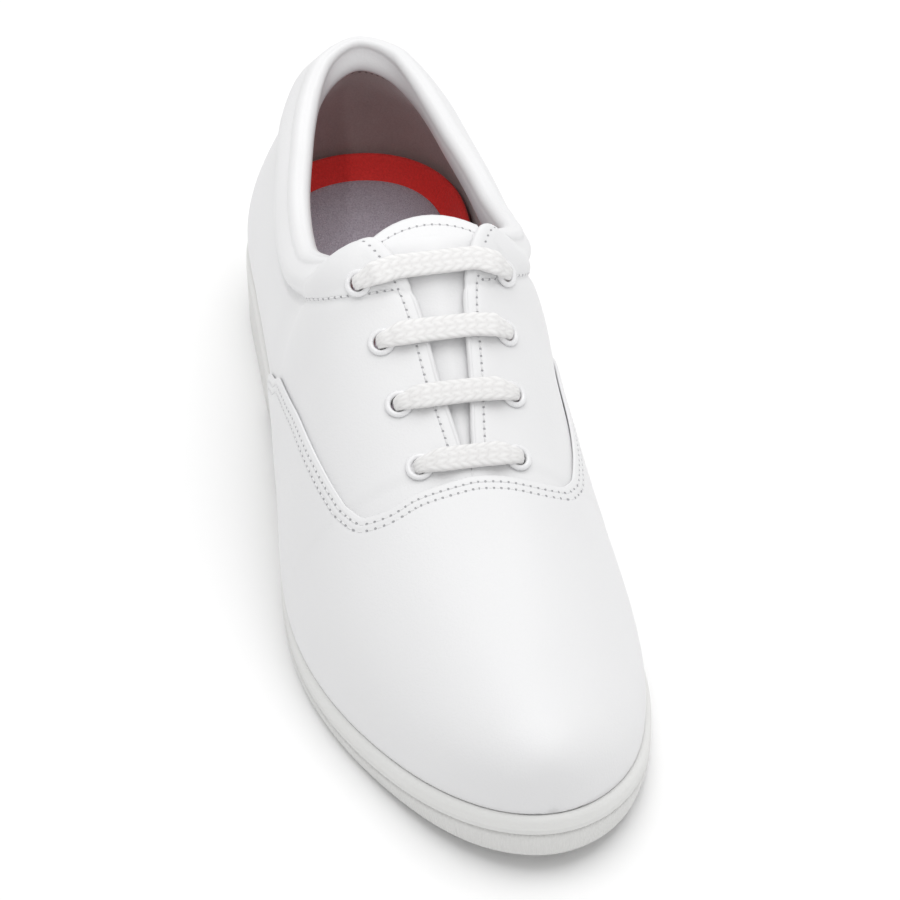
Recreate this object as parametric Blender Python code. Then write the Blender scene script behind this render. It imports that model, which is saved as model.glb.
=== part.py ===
"""A right marching band shoe: a low laced oxford on a two-layer rubber sole.

Metres, +Z up. The toe points along +X and the inner side of the foot is at +Y.
The origin is on the floor, under the middle of the shoe's box.
"""

import math

import bmesh
import bpy
import numpy as np
from mathutils import Matrix, Vector

# Driving dimensions of the last
LAST_LENGTH = 0.2954
BALL_HALF = 0.0485
HEEL_HEIGHT = 0.0265
INSTEP_HEIGHT = 0.0846

# Leather, gaps and padding
WALL = 0.0020
GAP = 0.0003
VAMP_THICK = 0.0012
THROAT_GAP = 0.0021
THROAT_TURN = 0.004
THROAT_FADE = 0.040
COLLAR_WIDTH = 0.0145
COLLAR_SHARE = 0.35
COLLAR_SWELL = 0.0016
COLLAR_PAD = 0.0036
COLLAR_PAD_DEPTH = 1.7

# Sole
RIM_HEIGHT = 0.0060
RIM_ROUND = 0.0011
GROOVE_DEPTH = 0.0011
TREAD_INSET = 0.0010
TREAD_BEVEL = 0.0012
TOE_SPRING = 0.0060
SPRING_START = 0.78
SPRING_POWER = 1.7
BREAST_AT = 0.275
BREAST_SLOPE = 0.004
ARCH_LIFT = 0.0026
ARCH_END = 0.56

# Footbed and its top cover
FOOTBED_INSET = 0.0034
FOOTBED_THICK = 0.0042
CUP_RISE = 0.0068
CUP_START = 0.50
CUP_FULL = 0.28
CUP_LIP = 0.0014
COVER_INSET = 0.0098
COVER_THICK = 0.0008

# Lacing
EYELET_SHARES = (0.863, 0.616, 0.342, 0.058)
EYELET_FROM_EDGE = 0.0127
EYELET_OUTER = 0.0042
EYELET_INNER = 0.0025
EYELET_FLANGE = 0.0008
EYELET_BARREL = 0.0031
EYELET_DEPTH = 0.0018
LACE_WIDTH = 0.0076
LACE_THICK = 0.0025
LACE_NECK = 0.0030
LACE_CLEAR = 0.0011

# Tongue
TONGUE_THICK = 0.0022
TONGUE_GAP = 0.0008
TONGUE_TUCK = 0.016
TONGUE_RISE = 0.0070
TONGUE_LOW_HALF = 0.022
TONGUE_TOP_HALF = 0.0172
TONGUE_SINK = 0.0020
TONGUE_ARCH = 1.0
TONGUE_ROUND = 2.5
TONGUE_SAME = 1e-6
TONGUE_CROWN = 0.35

# How finely the faces are cut
UPPER_COLUMNS = 34
WALL_ROWS = 8
COLLAR_ROWS = 4
RIM_STEPS = 4
VAMP_COLUMNS = 20
VAMP_ROWS = 7
SOLE_STATIONS = 32
TONGUE_ROWS = 11
TONGUE_SIDE = 4
EYELET_SEGMENTS = 12
LACE_STATIONS = 15
LACE_SIDES = 8

# One row for each section of the last, from the tip of the toe to the back of the heel.
# along, top_along: shares of LAST_LENGTH from the back; half, mid, top_half, ridge: shares of BALL_HALF;
# seat: share of HEEL_HEIGHT; height: share of INSTEP_HEIGHT; ledge: metres the sole stands out of the upper;
# belly, rise, crown, drop: how the side leaves the sole and how it turns in at the top.
SECTION_COLUMNS = ("along", "half", "mid", "seat", "ledge", "top_along", "top_half", "ridge", "height",
                   "belly_lat", "belly_med", "rise", "crown", "drop")
SECTIONS = (
    (1.000, 0.000, 0.090, 0.796, 0.0038, 1.000, 0.000, 0.090, 0.000, 0.100, 0.100, 0.50, 0.600, 0.00),
    (0.988, 0.243, 0.088, 0.764, 0.0038, 0.988, 0.000, 0.088, 0.158, 0.100, 0.100, 0.50, 0.590, 0.00),
    (0.958, 0.449, 0.083, 0.692, 0.0038, 0.958, 0.000, 0.083, 0.250, 0.090, 0.090, 0.48, 0.600, 0.00),
    (0.912, 0.628, 0.071, 0.584, 0.0037, 0.912, 0.000, 0.072, 0.310, 0.080, 0.080, 0.46, 0.600, 0.00),
    (0.852, 0.779, 0.041, 0.484, 0.0035, 0.852, 0.000, 0.054, 0.365, 0.070, 0.075, 0.45, 0.590, 0.00),
    (0.786, 0.894, -0.003, 0.434, 0.0032, 0.786, 0.000, 0.038, 0.435, 0.060, 0.085, 0.44, 0.600, 0.00),
    (0.715, 0.949, -0.059, 0.418, 0.0027, 0.715, 0.000, 0.032, 0.513, 0.049, 0.127, 0.43, 0.680, 0.00),
    (0.646, 0.936, -0.114, 0.430, 0.0020, 0.646, 0.000, 0.030, 0.607, 0.047, 0.195, 0.42, 0.740, 0.00),
    (0.564, 0.865, -0.152, 0.487, 0.0014, 0.564, 0.064, 0.028, 0.745, 0.050, 0.252, 0.42, 0.780, 0.00),
    (0.488, 0.793, -0.153, 0.578, 0.0010, 0.488, 0.145, 0.027, 0.880, 0.051, 0.267, 0.42, 0.760, 0.00),
    (0.430, 0.758, -0.143, 0.661, 0.0008, 0.426, 0.334, 0.022, 0.985, 0.051, 0.257, 0.42, 0.680, 0.02),
    (0.383, 0.737, -0.127, 0.733, 0.0008, 0.400, 0.552, 0.021, 0.820, 0.051, 0.232, 0.42, 0.530, 0.16),
    (0.320, 0.726, -0.097, 0.817, 0.0008, 0.337, 0.705, 0.020, 0.643, 0.055, 0.175, 0.42, 0.370, 0.30),
    (0.239, 0.732, -0.056, 0.904, 0.0008, 0.245, 0.654, 0.016, 0.565, 0.060, 0.110, 0.42, 0.300, 0.35),
    (0.157, 0.736, -0.022, 0.950, 0.0008, 0.160, 0.556, 0.026, 0.565, 0.060, 0.075, 0.42, 0.300, 0.36),
    (0.082, 0.691, -0.005, 0.973, 0.0008, 0.083, 0.432, 0.038, 0.602, 0.060, 0.060, 0.42, 0.300, 0.36),
    (0.027, 0.473, 0.000, 0.980, 0.0008, 0.040, 0.280, 0.046, 0.652, 0.060, 0.060, 0.42, 0.300, 0.36),
    (0.000, 0.000, 0.000, 0.984, 0.0008, 0.019, 0.000, 0.048, 0.670, 0.060, 0.060, 0.42, 0.300, 0.36),
)
THROAT_ROW = 7
CORNER_ROW = 10
ODD_AT_TOE = ("half", "height")
ODD_AT_HEEL = ("half", "top_half")
EDGE_COLUMNS = ("top_along", "top_half", "height", "crown", "drop")
GHOST_ROWS = 3

# The edge of the vamp on each side, from the middle of the throat to where its wing runs out at the sole.
# along: share of LAST_LENGTH; climb: share of the way up the side.
SEAM_COLUMNS = ("along_lat", "climb_lat", "along_med", "climb_med")
SEAM = (
    (0.654, 1.000, 0.654, 1.000),
    (0.657, 0.915, 0.655, 0.895),
    (0.659, 0.830, 0.657, 0.764),
    (0.664, 0.735, 0.652, 0.645),
    (0.659, 0.650, 0.638, 0.580),
    (0.645, 0.612, 0.613, 0.528),
    (0.618, 0.580, 0.567, 0.455),
    (0.576, 0.533, 0.515, 0.385),
    (0.513, 0.443, 0.465, 0.330),
    (0.446, 0.331, 0.410, 0.250),
    (0.385, 0.255, 0.365, 0.190),
    (0.340, 0.165, 0.340, 0.110),
    (0.330, 0.000, 0.331, 0.000),
)
TIP_FAN = 0.030
TIP_COLUMN = 0.35
HEEL_CROWD = 1.5

LATERAL = -1.0
MEDIAL = 1.0
UP = np.array((0.0, 0.0, 1.0))

COLOURS = {
    "white_leather": (0.86, 0.86, 0.87),
    "white_rubber": (0.84, 0.84, 0.84),
    "white_lace": (0.90, 0.90, 0.90),
    "white_enamel": (0.92, 0.92, 0.92),
    "red_foam": (0.70, 0.05, 0.03),
    "grey_fabric": (0.28, 0.27, 0.30),
}
ROUGHNESS = 0.5


def soft_slopes(knots, values):
    """Slopes at the knots of the smoothest cubic through them."""
    step = np.diff(knots)
    chord = np.diff(values) / step
    count = len(knots)
    matrix = np.zeros((count, count))
    right = np.zeros(count)
    matrix[0, :2] = (2.0, 1.0)
    right[0] = 3.0 * chord[0]
    matrix[-1, -2:] = (1.0, 2.0)
    right[-1] = 3.0 * chord[-1]
    for i in range(1, count - 1):
        before, after = 1.0 / step[i - 1], 1.0 / step[i]
        matrix[i, i - 1:i + 2] = (before, 2.0 * (before + after), after)
        right[i] = 3.0 * (chord[i - 1] * before + chord[i] * after)
    return np.linalg.solve(matrix, right)


def firm_slopes(knots, values):
    """Slopes at the knots of a cubic that never swings past its rows."""
    step = np.diff(knots)
    chord = np.diff(values) / step
    slope = np.zeros(len(knots))
    slope[0], slope[-1] = chord[0], chord[-1]
    for i in range(1, len(knots) - 1):
        if chord[i - 1] * chord[i] > 0.0:
            before = 2.0 * step[i] + step[i - 1]
            after = step[i] + 2.0 * step[i - 1]
            slope[i] = (before + after) / (before / chord[i - 1] + after / chord[i])
    return slope


def cubic_through(knots, values, slopes):
    """A function that runs through the values at the knots with the given slopes."""
    def at(place):
        place = np.asarray(place, dtype=float)
        i = np.clip(np.searchsorted(knots, place) - 1, 0, len(knots) - 2)
        width = knots[i + 1] - knots[i]
        u = (place - knots[i]) / width
        keep, leave = 2.0 * u**3 - 3.0 * u**2 + 1.0, u**3 - 2.0 * u**2 + u
        take, enter = 3.0 * u**2 - 2.0 * u**3, u**3 - u**2
        return (values[i] * keep + values[i + 1] * take
                + width * (slopes[i] * leave + slopes[i + 1] * enter))
    return at


def mirrored_rows(values, odd_start, odd_end):
    """The rows of a column with a few more past each end, as the other side of the shoe carries on."""
    first = values[1:GHOST_ROWS + 1][::-1]
    last = values[-GHOST_ROWS - 1:-1][::-1]
    if odd_start:
        first = 2.0 * values[0] - first
    if odd_end:
        last = 2.0 * values[-1] - last
    return np.concatenate((first, values, last))


ROWS = np.array(SECTIONS)
ROW = {name: ROWS[:, i] for i, name in enumerate(SECTION_COLUMNS)}
ROW_STEPS = np.hypot(np.diff(ROW["along"]) * LAST_LENGTH, np.diff(ROW["half"]) * BALL_HALF)
ROW_PLACES = np.concatenate(((0.0,), np.cumsum(ROW_STEPS)))
ROUND = ROW_PLACES[-1]
THROAT = ROW_PLACES[THROAT_ROW]
CORNER = ROW_PLACES[CORNER_ROW]


def last_columns():
    """A smooth function of the way round the last for each column of the section table."""
    knots = mirrored_rows(ROW_PLACES, True, True)
    columns = {}
    for name in SECTION_COLUMNS:
        values = mirrored_rows(ROW[name], name in ODD_AT_TOE, name in ODD_AT_HEEL)
        slopes = firm_slopes if name in EDGE_COLUMNS else soft_slopes
        columns[name] = cubic_through(knots, values, slopes(knots, values))
    return columns


LAST = last_columns()
HEEL_LEDGE = ROW["ledge"][-1]
BACK_X = -0.5 * (LAST_LENGTH + ROW["ledge"][0] - HEEL_LEDGE)


def base_line(s, side):
    """Plan points where the upper meets the sole, s metres round from the tip of the toe."""
    x = BACK_X + LAST["along"](s) * LAST_LENGTH
    y = (side * LAST["half"](s) + LAST["mid"](s)) * BALL_HALF - Y_SHIFT
    return np.stack((x, y), axis=-1)


def base_normal(s, side):
    """Outward plan direction of the base line."""
    step = 0.0002
    run = base_line(s + step, side) - base_line(s - step, side)
    out = side * np.stack((run[..., 1], -run[..., 0]), axis=-1)
    return out / np.linalg.norm(out, axis=-1, keepdims=True)


def seat_height(s):
    return LAST["seat"](s) * HEEL_HEIGHT


def side_extent(side):
    """How far the sole reaches out on one side."""
    s = np.linspace(0.0, ROUND, 400)
    edge = base_line(s, side) + base_normal(s, side) * LAST["ledge"](s)[:, None]
    return np.max(side * edge[:, 1])


Y_SHIFT = 0.0
Y_SHIFT = 0.5 * (side_extent(MEDIAL) - side_extent(LATERAL))


def station(along):
    """The way round the last at which the base line has a given share of the length."""
    s = np.linspace(0.0, ROUND, 1200)
    return np.interp(-np.asarray(along), -LAST["along"](s), s)


def smooth_step(low, high, value):
    share = np.clip((value - low) / (high - low), 0.0, 1.0)
    return share * share * (3.0 - 2.0 * share)


def edge_half(s):
    """Half the way across between the two top edges; the throat ends in a small U."""
    opens = smooth_step(THROAT, THROAT + THROAT_TURN, s)
    fades = smooth_step(CORNER - THROAT_FADE, CORNER, s)
    return LAST["top_half"](s) * BALL_HALF + THROAT_GAP * opens * (1.0 - fades)


def wall(s, side, climb):
    """Points on the outside of the upper: s round from the toe, climb from the sole to the top edge."""
    s, climb = np.broadcast_arrays(np.asarray(s, dtype=float), np.asarray(climb, dtype=float))
    height = LAST["height"](s) * INSTEP_HEIGHT
    belly = LAST["belly_lat" if side < 0 else "belly_med"](s)
    foot = np.concatenate((base_line(s, side), (seat_height(s) + GAP)[..., None]), axis=-1)
    top_y = side * edge_half(s) + LAST["ridge"](s) * BALL_HALF - Y_SHIFT
    top = np.stack((BACK_X + LAST["top_along"](s) * LAST_LENGTH, top_y, foot[..., 2] + height), axis=-1)
    out = np.concatenate((base_normal(s, side), np.zeros(s.shape + (1,))), axis=-1)
    spread = (foot - top) * (1.0, 1.0, 0.0)
    low = foot + out * (belly * height)[..., None] + UP * (LAST["rise"](s) * height)[..., None]
    high = top + spread * LAST["crown"](s)[..., None] - UP * (LAST["drop"](s) * height)[..., None]
    t = climb[..., None]
    return (foot * (1 - t)**3 + low * 3 * t * (1 - t)**2 + high * 3 * t**2 * (1 - t) + top * t**3)


def wall_normal(s, side, climb):
    """Outward directions of the upper's surface."""
    step_s, step_climb = 0.0003, 0.003
    s, climb = np.broadcast_arrays(np.asarray(s, dtype=float), np.asarray(climb, dtype=float))
    near = np.clip(s, 2.0 * step_s, ROUND)
    run = wall(near + step_s, side, climb) - wall(near - step_s, side, climb)
    rise = wall(near, side, climb + step_climb) - wall(near, side, climb - step_climb)
    out = side * np.cross(run, rise)
    out = out / np.linalg.norm(out, axis=-1, keepdims=True)
    tip = (s < step_s)[..., None]
    return np.where(tip, np.array((1.0, 0.0, 0.0)), out)


def shared_normal(s, side, climb):
    """Outward directions: level at the sole, shared by both sides along the ridge and the heel's back."""
    out = wall_normal(s, side, climb)
    out = np.where((climb < 1e-9)[..., None], out * (1.0, 1.0, 0.0), out)
    out = out / np.linalg.norm(out, axis=-1, keepdims=True)
    both = out + wall_normal(s, -side, climb) * np.where(climb < 1e-9, 0.0, 1.0)[..., None]
    both = both / np.linalg.norm(both, axis=-1, keepdims=True)
    meets = ((climb > 1.0 - 1e-9) & (s < THROAT + 1e-9)) | (s > ROUND - 1e-9)
    return np.where(meets[..., None], both, out)


def climb_at(s, side, from_top):
    """The climb that lies the given distances down from the top edge of one section."""
    fine = np.linspace(0.0, 1.0, 161)
    points = wall(np.full(fine.shape, s), side, fine)
    length = np.concatenate(((0.0,), np.cumsum(np.linalg.norm(np.diff(points, axis=0), axis=1))))
    return np.interp(length[-1] - np.asarray(from_top), length, fine), length[-1]


def collar_share(s):
    """None at the facings, full from the ankle round the heel."""
    return smooth_step(CORNER + 0.002, CORNER + 0.030, s)


def collar_swell(s, from_top):
    """How far the padded collar stands out of the quarter."""
    share = np.clip(from_top / COLLAR_WIDTH, 0.0, 1.0)
    return COLLAR_SWELL * collar_share(s) * np.sin(math.pi * share)


def wall_thickness(s, from_top):
    """The wall, and the collar's padding on its inside."""
    padded = 1.0 - smooth_step(0.0, COLLAR_PAD_DEPTH * COLLAR_WIDTH, from_top)
    return WALL + COLLAR_PAD * collar_share(s) * padded


def seam_line(side, share):
    """The vamp's edge as way round and climb, from the wing's end (0) to the throat (1)."""
    columns = np.array(SEAM)[::-1]
    first = SEAM_COLUMNS.index("along_lat" if side < 0 else "along_med")
    place, climb = station(columns[:, first]), columns[:, first + 1]
    middle = wall(place, side, climb)
    knots = np.concatenate(((0.0,), np.cumsum(np.linalg.norm(np.diff(middle, axis=0), axis=1))))
    at = np.asarray(share) * knots[-1]
    return (cubic_through(knots, place, firm_slopes(knots, place))(at),
            cubic_through(knots, climb, firm_slopes(knots, climb))(at))


def material(name):
    made = bpy.data.materials.get(name) or bpy.data.materials.new(name)
    made.use_nodes = True
    shader = made.node_tree.nodes["Principled BSDF"]
    shader.inputs["Base Color"].default_value = COLOURS[name] + (1.0,)
    shader.inputs["Roughness"].default_value = ROUGHNESS
    return made


def solid(name, points, faces, paint):
    """A closed object from points and faces; points that coincide become one."""
    mesh = bpy.data.meshes.new(name)
    mesh.from_pydata([tuple(p) for p in points], [], [tuple(f) for f in faces])
    made = bmesh.new()
    made.from_mesh(mesh)
    bmesh.ops.remove_doubles(made, verts=made.verts, dist=1e-6)
    bmesh.ops.dissolve_degenerate(made, edges=made.edges, dist=1e-7)
    bmesh.ops.recalc_face_normals(made, faces=made.faces)
    made.to_mesh(mesh)
    made.free()
    mesh.materials.append(material(paint))
    for face in mesh.polygons:
        face.use_smooth = True
    placed = bpy.data.objects.new(name, mesh)
    bpy.context.collection.objects.link(placed)
    return placed


def band_faces(first, second, close):
    """Quads between two rows of point numbers."""
    pairs = list(zip(first, first[1:], second[1:], second))
    if close:
        pairs.append((first[-1], first[0], second[0], second[-1]))
    return pairs


def upper_places():
    """The columns of the upper: toe to throat, throat to facing top, then round the collar."""
    shares = ((0.0, THROAT, 0.42), (THROAT, CORNER, 0.18), (CORNER, ROUND, 0.40))
    places = [0.0]
    for start, end, share in shares:
        count = max(2, round(UPPER_COLUMNS * share))
        places.extend(np.linspace(start, end, count + 1)[1:])
    places[1:1] = [places[1] * TIP_COLUMN]
    around = (np.array(places) - CORNER) / (ROUND - CORNER)
    closer = CORNER + (ROUND - CORNER) * (1.0 - (1.0 - around)**HEEL_CROWD)
    return np.where(around > 0.0, closer, places)


def section_rows(s, side):
    """Climbs of one section, close together at the collar, and how far down each lies."""
    whole = climb_at(s, side, 0.0)[1]
    strip = min(COLLAR_WIDTH, COLLAR_SHARE * whole)
    low = np.linspace(whole, strip, WALL_ROWS + 1)[:-1]
    from_top = np.concatenate((low, np.linspace(strip, 0.0, COLLAR_ROWS + 1)))
    climb = climb_at(s, side, from_top)[0]
    climb[0], climb[-1] = 0.0, 1.0
    return climb, from_top


def upper_column(s, side):
    """One section of the upper's wall: outside up to the edge, over it, and down the inside."""
    climb, from_top = section_rows(s, side)
    place = np.full(climb.shape, s)
    skin, out = wall(place, side, climb), shared_normal(place, side, climb)
    outer = skin + out * collar_swell(s, from_top)[:, None]
    inner = skin - out * wall_thickness(s, from_top)[:, None]
    middle = 0.5 * (outer[-1] + inner[-1])
    radius = 0.5 * np.linalg.norm(outer[-1] - inner[-1])
    along = outer[-1] - outer[-2]
    along = along / max(np.linalg.norm(along), 1e-9)
    reach = min(radius, 0.5 * edge_half(s)) if s < CORNER else radius
    turn = math.pi * np.arange(1, RIM_STEPS)[:, None] / RIM_STEPS
    rim = middle + radius * np.cos(turn) * out[-1] + reach * np.sin(turn) * along
    return outer, rim, inner[::-1]


def vamp_column(s, side):
    """One section of the blank that the vamp is cut from, just clear of the upper."""
    climb, _ = section_rows(s, side)
    place = np.full(climb.shape, s)
    skin, out = wall(place, side, climb), shared_normal(place, side, climb)
    under, over = skin + out * GAP, skin + out * (GAP + VAMP_THICK)
    rim = np.linspace(over[-1], under[-1], RIM_STEPS + 1)[1:-1]
    return over, rim, under[::-1]


def shell(name, column, paint):
    """Leather round the whole last, one piece along the vamp's ridge and open from the throat back."""
    points, faces = [], []
    for side in (LATERAL, MEDIAL):
        before = None
        for s in upper_places():
            outer, rim, inner = column(s, side)
            first = len(points)
            points.extend(np.concatenate((outer, rim, inner)))
            now = list(range(first, len(points)))
            if before is not None:
                top = len(outer) - 1
                for i, (a, b, c, d) in enumerate(band_faces(before, now, True)):
                    if i >= top + RIM_STEPS:
                        faces.extend(((a, b, d), (b, c, d)))
                    elif i < top or s > THROAT + 1e-9:
                        faces.extend(((a, b, c), (a, c, d)))
            before = now
    used = sorted({i for face in faces for i in face})
    number = {old: new for new, old in enumerate(used)}
    return solid(name, [points[i] for i in used], [[number[i] for i in face] for face in faces], paint)


def build_upper():
    """One hollow shell, open at the throat and collar and underneath, with the eyelet holes."""
    upper = shell("upper", upper_column, "white_leather")
    for side in (LATERAL, MEDIAL):
        for middle, out, _ in eyelet_places(side):
            hole = EYELET_BARREL + GAP
            bpy.ops.mesh.primitive_cylinder_add(vertices=EYELET_SEGMENTS, radius=hole, depth=5.0 * WALL)
            cutter = bpy.context.active_object
            turn = Vector(out).to_track_quat("Z", "Y").to_matrix().to_4x4()
            cutter.data.transform(Matrix.Translation(Vector(middle - out * WALL)) @ turn)
            combine(upper, cutter, "DIFFERENCE")


def combine(target, tool, operation):
    """Cut or trim one object with another, which is used up."""
    step = target.modifiers.new("cut", "BOOLEAN")
    step.operation = operation
    step.solver = "EXACT"
    step.object = tool
    bpy.context.view_layer.objects.active = target
    bpy.ops.object.modifier_apply(modifier=step.name)
    spent = tool.data
    bpy.data.objects.remove(tool)
    bpy.data.meshes.remove(spent)


def eyelet_places(side):
    """Middle and outward direction of each eyelet of one facing, from the throat up."""
    places = []
    for share in sorted(EYELET_SHARES):
        s = THROAT + share * (CORNER - THROAT)
        climb = climb_at(s, side, EYELET_FROM_EDGE)[0]
        places.append((wall(s, side, climb), wall_normal(s, side, climb), s))
    return places


def vamp_region():
    """A block through the leather that covers what lies between the vamp's edge and the sole."""
    points, faces = [], []
    up = np.linspace(0.0, 1.0, VAMP_ROWS + 1)
    for side in (LATERAL, MEDIAL):
        before = None
        wing = seam_line(side, 0.0)[0]
        for share in np.linspace(0.0, 1.0, VAMP_COLUMNS + 1):
            gone = share * (wing + TIP_FAN)
            foot = (max(wing - gone, 0.0), max(gone - wing, 0.0) / TIP_FAN)
            edge = seam_line(side, share)
            s = foot[0] + (edge[0] - foot[0]) * up
            climb = foot[1] + (edge[1] - foot[1]) * up
            skin, out = wall(s, side, climb), shared_normal(s, side, climb)
            under, over = skin - out * WALL, skin + out * 2.0 * VAMP_THICK
            first = len(points)
            points.extend((under[0] - UP * WALL, *under, *over[::-1], over[0] - UP * WALL))
            now = list(range(first, len(points)))
            faces.extend([now] if before is None else band_faces(before, now, True))
            before = now
    return solid("vamp_region", points, faces, "white_leather")


def build_vamp():
    """The vamp lies over the front of the upper, its edge lapped over the quarters."""
    vamp = shell("vamp", vamp_column, "white_leather")
    combine(vamp, vamp_region(), "INTERSECT")


def ring(inset, height, stations):
    """A loop of points round the last: inset metres inside the base line, at the given heights."""
    lateral = base_line(stations, LATERAL) - base_normal(stations, LATERAL) * inset[:, None]
    medial = base_line(stations, MEDIAL) - base_normal(stations, MEDIAL) * inset[:, None]
    loop = np.concatenate((lateral, medial[-2:0:-1]))
    levels = np.concatenate((height, height[-2:0:-1]))
    return np.concatenate((loop, levels[:, None]), axis=1)


def stacked(name, loops, paint):
    """A solid from loops that share their stations, closed across at the first and the last."""
    points, faces = [], []
    size = len(loops[0])
    half = size // 2
    for level, loop in enumerate(loops):
        points.extend(loop)
        if level:
            low = list(range((level - 1) * size, level * size))
            high = [i + size for i in low]
            faces.extend(band_faces(low, high, True))
    for first in (0, (len(loops) - 1) * size):
        for i in range(half):
            right, right_next = first + i, first + i + 1
            left, left_next = first + (size - i) % size, first + size - i - 1
            corners = []
            for corner in (right, right_next, left_next, left):
                if corner not in corners:
                    corners.append(corner)
            faces.append(corners)
    return solid(name, points, faces, paint)


def sole_stations():
    """Even steps round the sole, with a close pair at the heel's breast."""
    breast = (station(BREAST_AT), station(BREAST_AT - BREAST_SLOPE / LAST_LENGTH))
    even = np.linspace(0.0, ROUND, SOLE_STATIONS)
    far = [s for s in even if min(abs(s - b) for b in breast) > 0.4 * even[1]]
    return np.array(sorted(far + list(breast)))


def tread_height(stations):
    """The underside: heel and ball on the floor, a shallow arch between them, and the toe sprung up."""
    along = LAST["along"](stations)
    spring = TOE_SPRING * np.clip((along - SPRING_START) / (1.0 - SPRING_START), 0.0, 1.0)**SPRING_POWER
    arch = ARCH_LIFT * (1.0 - smooth_step(BREAST_AT, ARCH_END, along))
    return np.where(along > BREAST_AT - 0.5 * BREAST_SLOPE / LAST_LENGTH, spring + arch, 0.0)


def build_sole():
    """A rounded rim over a deeper tread layer, with a groove between the two."""
    stations = sole_stations()
    ledge = LAST["ledge"](stations)
    seat = seat_height(stations)
    joint = seat - RIM_HEIGHT
    tread = tread_height(stations)
    stacked("midsole", (
        ring(GROOVE_DEPTH - ledge, joint, stations),
        ring(-ledge, joint + 0.5 * GROOVE_DEPTH, stations),
        ring(-ledge, seat - RIM_ROUND, stations),
        ring(0.3 * RIM_ROUND - ledge, seat - 0.3 * RIM_ROUND, stations),
        ring(RIM_ROUND - ledge, seat, stations),
    ), "white_rubber")
    stacked("outsole", (
        ring(TREAD_INSET + TREAD_BEVEL - ledge, tread, stations),
        ring(TREAD_INSET - ledge, tread + TREAD_BEVEL, stations),
        ring(0.15 * TREAD_INSET - ledge, joint - GAP - 2.0 * GROOVE_DEPTH, stations),
        ring(0.25 * TREAD_INSET - ledge, joint - GAP - 0.6 * GROOVE_DEPTH, stations),
        ring(GROOVE_DEPTH - ledge, joint - GAP, stations),
    ), "white_rubber")


def build_footbed():
    """A foam bed with a raised cup round the heel, and a fabric cover lying in it."""
    stations = np.linspace(0.0, ROUND, SOLE_STATIONS)
    ones = np.ones(SOLE_STATIONS)
    along = LAST["along"](stations)
    base = seat_height(stations) + GAP
    cup = CUP_RISE * (1.0 - smooth_step(CUP_FULL, CUP_START, along))
    deck = base + FOOTBED_THICK
    slope_inset = (COVER_INSET - 0.5 * GAP) * ones
    stacked("footbed", (
        ring(FOOTBED_INSET * ones, base, stations),
        ring(FOOTBED_INSET * ones, deck + cup - 0.5 * CUP_LIP, stations),
        ring((FOOTBED_INSET + CUP_LIP) * ones, deck + cup, stations),
        ring(0.5 * (FOOTBED_INSET + COVER_INSET) * ones, deck + 0.36 * cup, stations),
        ring(slope_inset, deck, stations),
    ), "red_foam")
    stacked("sock_lining", (
        ring((COVER_INSET + GAP) * ones, deck + GAP, stations),
        ring((COVER_INSET + GAP) * ones, deck + GAP + 0.6 * COVER_THICK, stations),
        ring((COVER_INSET + COVER_THICK) * ones, deck + GAP + COVER_THICK, stations),
    ), "grey_fabric")


def tongue_section(s, half):
    """A line across under the facings, from the lateral edge of the tongue to the medial one."""
    sides = []
    for side in (LATERAL, MEDIAL):
        gap_half = edge_half(s)
        under = np.linspace(max(half - gap_half, 0.0), 0.0, TONGUE_SIDE)
        climb = climb_at(s, side, under)[0]
        place = np.full(climb.shape, s)
        sides.append((wall(place, side, climb), wall_normal(place, side, climb)))
    (left, left_out), (right, right_out) = sides
    middle = 0.5 * (left[-1] + right[-1])
    slope = np.linalg.norm(left_out[-1, :2]) / left_out[-1, 2]
    middle = middle + UP * TONGUE_CROWN * slope * 0.5 * np.linalg.norm(left[-1] - right[-1])
    middle_out = left_out[-1] + right_out[-1]
    middle_out = middle_out / np.linalg.norm(middle_out)
    line = np.concatenate((left, middle[None], right[::-1]))
    out = np.concatenate((left_out, middle_out[None], right_out[::-1]))
    count = len(line)
    apart = np.concatenate(((True,), np.linalg.norm(np.diff(line, axis=0), axis=1) > TONGUE_SAME))
    line, out = line[apart], out[apart]
    knots = np.concatenate(((0.0,), np.cumsum(np.linalg.norm(np.diff(line, axis=0), axis=1))))
    even = np.linspace(0.0, knots[-1], count)
    line = np.stack([cubic_through(knots, c, firm_slopes(knots, c))(even) for c in line.T], axis=1)
    out = np.stack([np.interp(even, knots, c) for c in out.T], axis=1)
    return line, out / np.linalg.norm(out, axis=1, keepdims=True)


def build_tongue():
    """A soft leather sheet under the facings, its arched top standing clear of them."""
    points, faces = [], []
    before = None
    across = np.abs(np.linspace(-1.0, 1.0, 2 * TONGUE_SIDE + 1))
    start = THROAT - TONGUE_TUCK
    for row in range(TONGUE_ROWS):
        share = row / (TONGUE_ROWS - 4)
        half = TONGUE_LOW_HALF + (TONGUE_TOP_HALF - TONGUE_LOW_HALF) * min(share, 1.0)
        line, out = tongue_section(min(start + share * (CORNER - start), CORNER - 0.001), half)
        if share > 1.0:
            clear = (row - TONGUE_ROWS + 4) / 3.0
            rise = TONGUE_RISE * clear * (1.0 - TONGUE_ARCH * across**TONGUE_ROUND)
            line = line + facing_rise() * rise[:, None] - out * TONGUE_SINK * clear
        first = len(points)
        points.extend(line - out * (WALL + TONGUE_GAP))
        points.extend((line - out * (WALL + TONGUE_GAP + TONGUE_THICK))[::-1])
        now = list(range(first, len(points)))
        if before is None:
            faces.append(now)
        else:
            faces.extend(band_faces(before, now, True))
        before = now
    faces.append(before[::-1])
    return solid("tongue", points, faces, "white_leather")


def facing_rise():
    """Unit direction up the facings near their top."""
    ends = [wall(CORNER - back, LATERAL, 1.0) + wall(CORNER - back, MEDIAL, 1.0) for back in (0.016, 0.004)]
    run = ends[1] - ends[0]
    return run / np.linalg.norm(run)


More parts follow.
